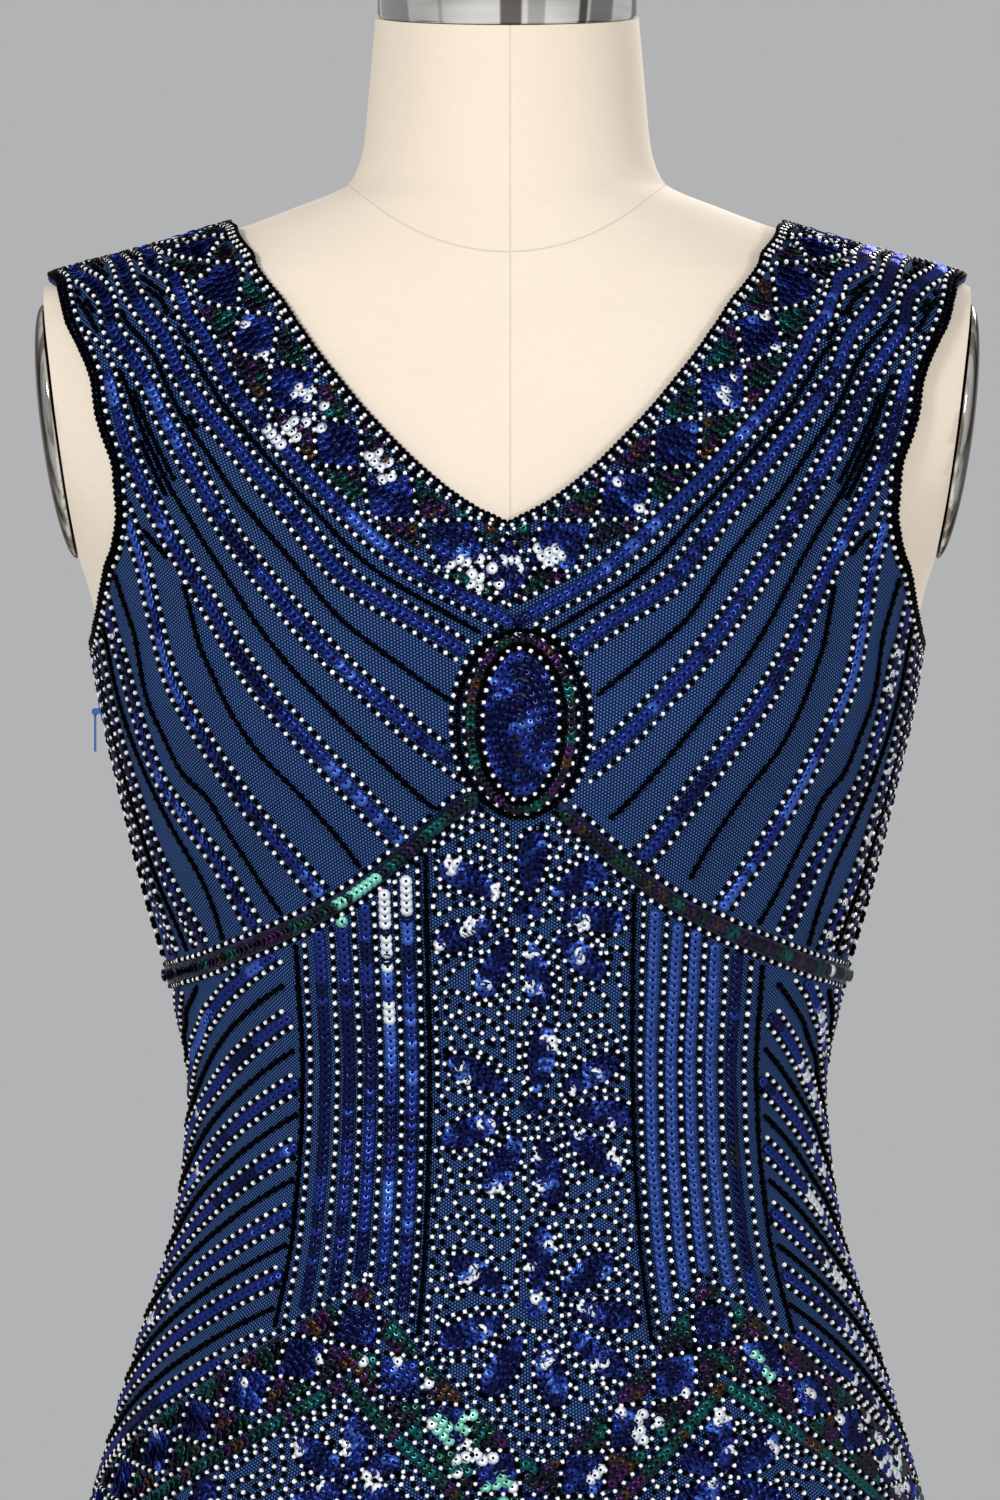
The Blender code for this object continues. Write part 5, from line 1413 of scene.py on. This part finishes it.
def onPanel(place):
    # The middle panel between the two sets of columns.
    left = np.radians(np.interp(place[:, 1], columnHeights, (-13.2, -12.2, -11.2)))
    right = np.radians(np.interp(place[:, 1], columnHeights, (22.0, 19.6, 17.2)))
    return (place[:, 0] > left) & (place[:, 0] < right) & belowSeam(place, 0.0062) & (ovalReach(place) > 1.14)


def sewPetals(centre, turns, keep):
    for turn, distance in turns:
        for inset in petal["insets"]:
            sew(petalAt(centre, turn, distance, inset), "sequin", petalTones, "skirtFront", keep,
                pitch=petal["pitch"], slack=petal["slack"])
        sew(petalAt(centre, turn, distance), "bead", ("jet", "pearl"), "skirtFront", keep)


def inPanel(place):
    return onPanel(place) & aboveZigzag(place, 0.0)


def sewFlowers():
    around = np.linspace(0, 2 * math.pi, 60)
    for centre in flowers:
        heart = shiftedFrom(centre, 0, 0.0030 * np.cos(around), 0.0030 * np.sin(around))
        sew(heart, "sequin", petalTones, "skirtFront", inPanel, pitch=0.0045, slack=0.6)
        sewPetals(centre, flowerTurns, inPanel)


wander = {
    "step": 0.00235, "gap": 0.0036, "longest": 120, "room": 0.0012, "size": 1.06, "bend": 0.34, "keepBend": 0.6,
    "detours": np.array([0, 0.45, -0.45, 0.9, -0.9, 1.35, -1.35, 1.8, -1.8]), "radius": 0.125,
}


def vermicelli(keep, area, tries=1800):
    # Wandering lines of seed beads that fill an area: each line grows both ways from a random place, bends a
    # little more or less at every bead, turns aside where the way is taken, and stops where all ways are.
    low, high = (np.array(corner, float) for corner in area)
    step, gap, cells = wander["step"], wander["gap"], {}

    def free(point, line, number):
        if any(math.dist(point, other) < reach + wander["room"]
               for other, reach, _ in cellsRound(taken, cellSize, point)):
            return False
        return not any((own != line or abs(number - at) > 2) and math.dist(point, other) < gap * 0.95
                       for other, own, at in cellsRound(cells, gap, point))

    def lay(point, line, number):
        cells.setdefault(tuple(math.floor(value / gap) for value in point), []).append((point, line, number))

    def grow(place, heading, line, way):
        beads, bend = [], 0.0
        for n in range(1, wander["longest"]):
            bend = wander["keepBend"] * bend + dice.normal(0, wander["bend"])
            headings = heading + bend + wander["detours"] * (1 if dice.random() < 0.5 else -1)
            ahead = place + np.stack([np.cos(headings) * step / wander["radius"], np.sin(headings) * step], -1)
            inside, points = keep(ahead), real(ahead).tolist()
            chosen = next((i for i in range(len(ahead)) if inside[i] and free(points[i], line, way * n)), None)
            if chosen is None:
                break
            place, heading = ahead[chosen], headings[chosen]
            lay(points[chosen], line, way * n)
            beads.append(place)
        return beads

    seeds = low + dice.random((tries, 2)) * (high - low)
    seeds = seeds[keep(seeds)]
    for k, (place, point) in enumerate(zip(seeds, real(seeds).tolist())):
        if not free(point, k, 0):
            continue
        lay(point, k, 0)
        heading = dice.random() * 2 * math.pi
        ahead = grow(place, heading, k, 1)
        behind = grow(place, heading + math.pi, k, -1)
        line = np.array(behind[::-1] + [place] + ahead)
        if len(line) > 2:
            sew(line, "bead", ("jet", "pearl"), "skirtFront", pitch=step, free=True, size=wander["size"])


def sewZigzag():
    # Straight lengths between the nodes, each drawn a little past its ends so that the bends are full, with a
    # diamond at every peak.
    nodes = np.array(zigzagNodes, float)
    for (a, ha), (b, hb) in zip(nodes, nodes[1:]):
        piece = "skirtFront" if max(abs(a), abs(b)) <= 87 else "skirtBack"
        past = 9.0 / (b - a)
        ends = [(a - past * (b - a), ha - past * (hb - ha)), (b + past * (b - a), hb + past * (hb - ha))]
        curve = straightLine(ends, 200)
        low, high = math.radians(a), math.radians(b)

        def keep(place):
            return (place[:, 0] > low - 0.003) & (place[:, 0] < high + 0.003)

        peak = np.interp(low if ha > hb else high, curve[:, 0], lengthsOf(curve))
        sewLattice(curve, 1, 0.0, zigzag["halfWidth"], zigzag["reach"], zigzag["pitch"], peak, keep, piece)
        sew(aside(curve, zigzag["strip"]), "sequin", tealStrip, piece, keep, slack=0.8)
        for across in zigzag["rows"]:
            sew(aside(curve, across), "bead", seedBeads, piece, keep)


def onPetalBand(place):
    # Between the zigzag band and the border that runs under it.
    border = zigzagHeight(place[:, 0]) - zigzag["border"]
    return belowZigzag(place) & (place[:, 1] > border + zigzag["borderMargin"])


def sewBelowZigzag():
    nodes = [(angle, height - zigzag["border"] * 1000) for angle, height in zigzagNodes if abs(angle) <= 87]
    sewStrip(straightLine(nodes, 120), tealStrip, "skirtFront", None, free=True)
    for angle in bandFlowers:
        height = zigzagHeight(math.radians(angle)) - zigzag["flowerDrop"]
        sewPetals((angle, height * 1000), bandTurns, onPetalBand)


# The sides, the back and the lower skirt.
plainRows = {  # degrees of the upright strips, the heights each part runs between, and the hem's rows
    "backAngles": np.arange(92.5, 272, 10.0), "lowerAngles": np.arange(-180, 180, 10.0) + 1.2,
    "bodice": (1.083, 1.372), "skirt": (0.84, 1.073), "lowerSkirt": (0.4225, 0.985),
    "hem": ((0.4212, seedBeads), (0.4236, jetBeads)),
}


def upright(angle, low, high, count=120):
    return np.stack([np.full(count, math.radians(angle)), np.linspace(high, low, count)], -1)


def onBodiceBack(place, margin=0.0075):
    good = aboveSeam(place) & insideOutline(place, "back")
    for line in (neckLines["back"], neckLines["backLeft"], armLines["backRight"], armLines["backLeft"]):
        good &= farFrom(place, line, margin)
    return good


def sewBack():
    for angle in plainRows["backAngles"]:
        sewStrip(upright(angle, *plainRows["bodice"]), plainBlue, "bodiceBack", onBodiceBack, free=True, plain=True)
    for name in ("back", "backLeft"):
        dense = np.arange(0, lengthsOf(neckLines[name])[-1], 0.0008)
        for across, tones in neckRows:
            for side in (-1, 1):
                sew(spots(neckLines[name], dense, side * across), "bead", tones, "bodiceBack",
                    lambda place: insideOutline(place, "back"), plain=True)
    for angle in plainRows["backAngles"]:
        sewStrip(upright(angle, *plainRows["skirt"]), plainBlue, "skirtBack", onWaist, free=True, plain=True)


def onLowerSkirt(place):
    # Below the zigzag at the back, and below the border in front.
    back = np.abs(place[:, 0]) >= cloth["sideSeam"]
    border = zigzagHeight(place[:, 0]) - zigzag["border"]
    return belowZigzag(place) & (back | (place[:, 1] < border - zigzag["borderMargin"]))


def sewLowerSkirt():
    for angle in plainRows["lowerAngles"]:
        strip = upright(angle, *plainRows["lowerSkirt"])
        sewStrip(strip, plainBlue, "skirtLower", onLowerSkirt, free=True, plain=True)
    hem = np.radians(np.linspace(-180, 180, 700))
    for height, tones in plainRows["hem"]:
        sew(np.stack([hem, np.full(700, height)], -1), "bead", tones, "skirtLower", plain=True, free=True)


sewOval()
sewNeckBand()
sewArmEdges()
sewBodiceFront()
sewUnderbust()
print("bodice laid out")
sewZigzag()
sewColumns()
sewFlowers()
sewDiagonals()
sewBelowZigzag()
print("waist and hips laid out")
vermicelli(lambda place: onPanel(place) & aboveZigzag(place, 0.001),
           ((math.radians(-16), 0.88), (math.radians(26), 1.15)))
vermicelli(lambda place: onPetalBand(place) & (np.abs(place[:, 0]) < 1.51), ((-1.51, 0.765), (1.51, 0.93)), 3600)
sewBack()
sewLowerSkirt()
print("back and lower skirt laid out")


# Beads and sequins as meshes.
def cutBead():
    # A cube with its corners cut off to the middles of its edges: twelve points, fourteen facets.
    points = np.array([(x, y, 0) for x in (-1, 1) for y in (-1, 1)] + [(x, 0, z) for x in (-1, 1) for z in (-1, 1)]
                      + [(0, y, z) for y in (-1, 1) for z in (-1, 1)], float) / math.sqrt(2) * 1.12
    return hullOf(points)


def roundBead(stretch=1.0):
    # Twenty even triangles: the golden ratio places twelve points on a ball, drawn out along the thread.
    golden = (1 + math.sqrt(5)) / 2
    signs = [(a, b * golden) for a in (-1, 1) for b in (-1, 1)]
    points = np.array([(0, a, b) for a, b in signs] + [(a, b, 0) for a, b in signs]
                      + [(b, 0, a) for a, b in signs], float) / math.hypot(1, golden)
    return hullOf(points * (stretch, 1, 1))


def plainBead(stretch=1.0):
    corners = np.array([(1, 0, 0), (-1, 0, 0), (0, 1, 0), (0, -1, 0), (0, 0, 1), (0, 0, -1)], float)
    return hullOf(corners * (1.08 * stretch, 1.08, 1.08))


def hullOf(points):
    # The convex hull of a few points as triangles that face outwards.
    shape = bmesh.new()
    for point in points:
        shape.verts.new(point)
    bmesh.ops.convex_hull(shape, input=shape.verts)
    bmesh.ops.triangulate(shape, faces=shape.faces)
    shape.verts.index_update()
    corners = np.array([v.co for v in shape.verts])
    faces = np.array([[v.index for v in f.verts] for f in shape.faces])
    shape.free()
    return corners, fixedWinding(corners, faces), np.zeros(len(faces), int)


def sequinCup(sides, withHole):
    # A shallow cup: an outer ring raised above a small inner ring, with a closed underside. With a hole, the inner
    # ring is closed by a near-black disc: painted shade for the cloth seen through the hole.
    around, cup = np.linspace(0, 2 * math.pi, sides, endpoint=False), notions["cup"]
    here, ahead = np.arange(sides), (np.arange(sides) + 1) % sides

    def ringOf(radius, height):
        return np.stack([radius * np.cos(around), radius * np.sin(around), 0 * around + height], -1)

    outer = ringOf(notions["sequinRadius"], cup)
    if not withHole:
        points = np.vstack([outer, (0, 0, 0), (0, 0, -cup * 0.6)])
        top = np.stack([here, ahead, np.full(sides, sides)], -1)
        under = np.stack([ahead, here, np.full(sides, sides + 1)], -1)
        return points, np.vstack([top, under]), np.zeros(2 * sides, int)
    points = np.vstack([outer, ringOf(notions["holeRadius"], 0.0), (0, 0, -cup * 0.6)])
    top = np.vstack([np.stack([here, ahead, sides + ahead], -1),
                     np.stack([here, sides + ahead, sides + here], -1)])
    hole = np.stack([np.full(sides - 2, sides), sides + here[1:-1], sides + here[2:]], -1)
    under = np.stack([ahead, here, np.full(sides, 2 * sides)], -1)
    dark = np.concatenate([np.zeros(2 * sides, int), np.ones(sides - 2, int), np.zeros(sides, int)])
    return points, np.vstack([top, hole, under]), dark


templates = {  # kind, whether plain, tone: the shape that is copied
    ("bead", False, "pearl"): cutBead(),
    ("bead", False, "jet"): roundBead(notions["jetStretch"]),
    ("bead", True, "pearl"): plainBead(),
    ("bead", True, "jet"): plainBead(notions["jetStretch"]),
    ("sequin", False, ""): sequinCup(8, True),
    ("sequin", True, ""): sequinCup(6, False),
}


def turned(one, other, angle):
    # Two square directions turned in their plane, the first towards the second.
    sine, cosine = np.sin(angle)[:, None], np.cos(angle)[:, None]
    return one * cosine + other * sine, other * cosine - one * sine


def stamp(template, kind, place, direction, lift, tone, size):
    # Each copy is turned so that its own Z leaves the cloth and its X follows the line, then leaned and
    # loosened a little if it is a sequin.
    corners, faces, dark = template
    points, normal = onDress(place[:, 0], place[:, 1], clothOutside + lift)
    ahead = unit(direction - (direction * normal).sum(-1, keepdims=True) * normal)
    across = np.cross(normal, ahead)
    if kind == "sequin":
        lean = notions["sequinLean"] + dice.normal(0, notions["sequinLoose"], len(points))
        roll = dice.normal(0, notions["sequinLoose"], len(points))
        ahead, normal = turned(ahead, normal, lean)
        normal, across = turned(normal, across, roll)
        spin = dice.random(len(points)) * 2 * math.pi
        scale = size
    else:
        spin = dice.random(len(points)) * 2 * math.pi * (tone == toneNames["bead"].index("pearl"))
        radii = np.array([notions["beadRadius"][name] for name in toneNames["bead"]])
        scale = radii[tone] * size * (1 + dice.normal(0, 0.05, len(points)))
    ahead, across = turned(ahead, across, spin)
    body = (corners[None, :, 0, None] * ahead[:, None] + corners[None, :, 1, None] * across[:, None]
            + corners[None, :, 2, None] * normal[:, None]) * scale[:, None, None]
    shifted = faces[None] + (np.arange(len(points)) * len(corners))[:, None, None]
    slots = np.where(dark[None] > 0, toneNames["sequin"].index("hole"), tone[:, None])
    return (body + points[:, None]).reshape(-1, 3), shifted.reshape(-1, 3), slots.reshape(-1)


def makeBeadPiece(piece, kind):
    # All beads or all sequins that are sewn on one piece, as one mesh with a slot for each tone.
    points, faces, slots, smooth, count = [], [], [], [], 0
    for (shapeKind, plain, toneName), template in templates.items():
        lines = [line for line in sewn if (line["piece"], line["kind"], line["plain"]) == (piece, kind, plain)]
        if shapeKind != kind or not lines:
            continue
        place, direction, lift, tone, size = (
            np.concatenate([line[key] for line in lines]) for key in ("place", "direction", "lift", "tone", "size"))
        chosen = tone == toneNames["bead"].index(toneName) if toneName else np.ones(len(tone), bool)
        if not chosen.any():
            continue
        p, f, s = stamp(template, kind, place[chosen], direction[chosen], lift[chosen], tone[chosen], size[chosen])
        points.append(p)
        faces.append(f + count)
        slots.append(s)
        smooth.append(np.full(len(f), toneName != "pearl"))
        count += len(p)
    if not count:
        return []
    ending, finishes, slotName = (("Beads", beadTones, "beaded_cloth") if kind == "bead"
                                  else ("Sequins", sequinTones, "sequin_trim"))
    print(piece + ending, sum(len(f) for f in faces), "triangles")
    return [newPiece(piece + ending, np.vstack(points), np.vstack(faces), finishes.values(),
                     smooth=np.concatenate(smooth), slots=np.concatenate(slots), slotName=slotName)]


beadwork = {piece: makeBeadPiece(piece, "bead") + makeBeadPiece(piece, "sequin")
            for piece in sorted({line["piece"] for line in sewn})}

# Floor, light and camera.
floorMesh = bpy.data.meshes.new("floor")
floorMesh.from_pydata([(-4, -4, 0), (4, -4, 0), (4, 4, 0), (-4, 4, 0)], [], [(0, 1, 2, 3)])
floor = bpy.data.objects.new("floor", floorMesh)
bpy.context.scene.collection.objects.link(floor)
floorMesh.materials.append(Finish("paleFloor", (0.72, 0.71, 0.69), 0.7).material)

world = bpy.data.worlds.new("studio")
bpy.context.scene.world = world
world.use_nodes = True
backdrop = world.node_tree.nodes["Background"].inputs
backdrop["Color"].default_value, backdrop["Strength"].default_value = (0.93, 0.94, 0.95, 1), 0.48
bpy.context.scene.view_settings.view_transform = "Standard"


def addLight(name, place, aim, size, watts):
    light = bpy.data.lights.new(name, "AREA")
    light.shape, light.size, light.energy = "SQUARE", size, watts
    lamp = bpy.data.objects.new(name, light)
    bpy.context.scene.collection.objects.link(lamp)
    lamp.location = place
    lamp.rotation_euler = (Vector(aim) - Vector(place)).to_track_quat("-Z", "Y").to_euler()


addLight("keyLight", (-1.3, -2.3, 2.1), (0, 0, 1.1), 0.42, 42)
addLight("fillLight", (1.7, -1.9, 1.5), (0, 0, 1.1), 0.45, 20)
addLight("rimLight", (0.9, 1.8, 2.3), (0, 0, 1.1), 1.0, 30)

cameraData = bpy.data.cameras.new("camera")
cameraData.sensor_width, cameraData.lens = 36, 146.3
camera = bpy.data.objects.new("camera", cameraData)
bpy.context.scene.collection.objects.link(camera)
camera.location = (-0.0029, -2.5, 1.17)
camera.rotation_euler = (math.pi / 2, 0, 0)
bpy.context.scene.camera = camera
print("light and camera set")
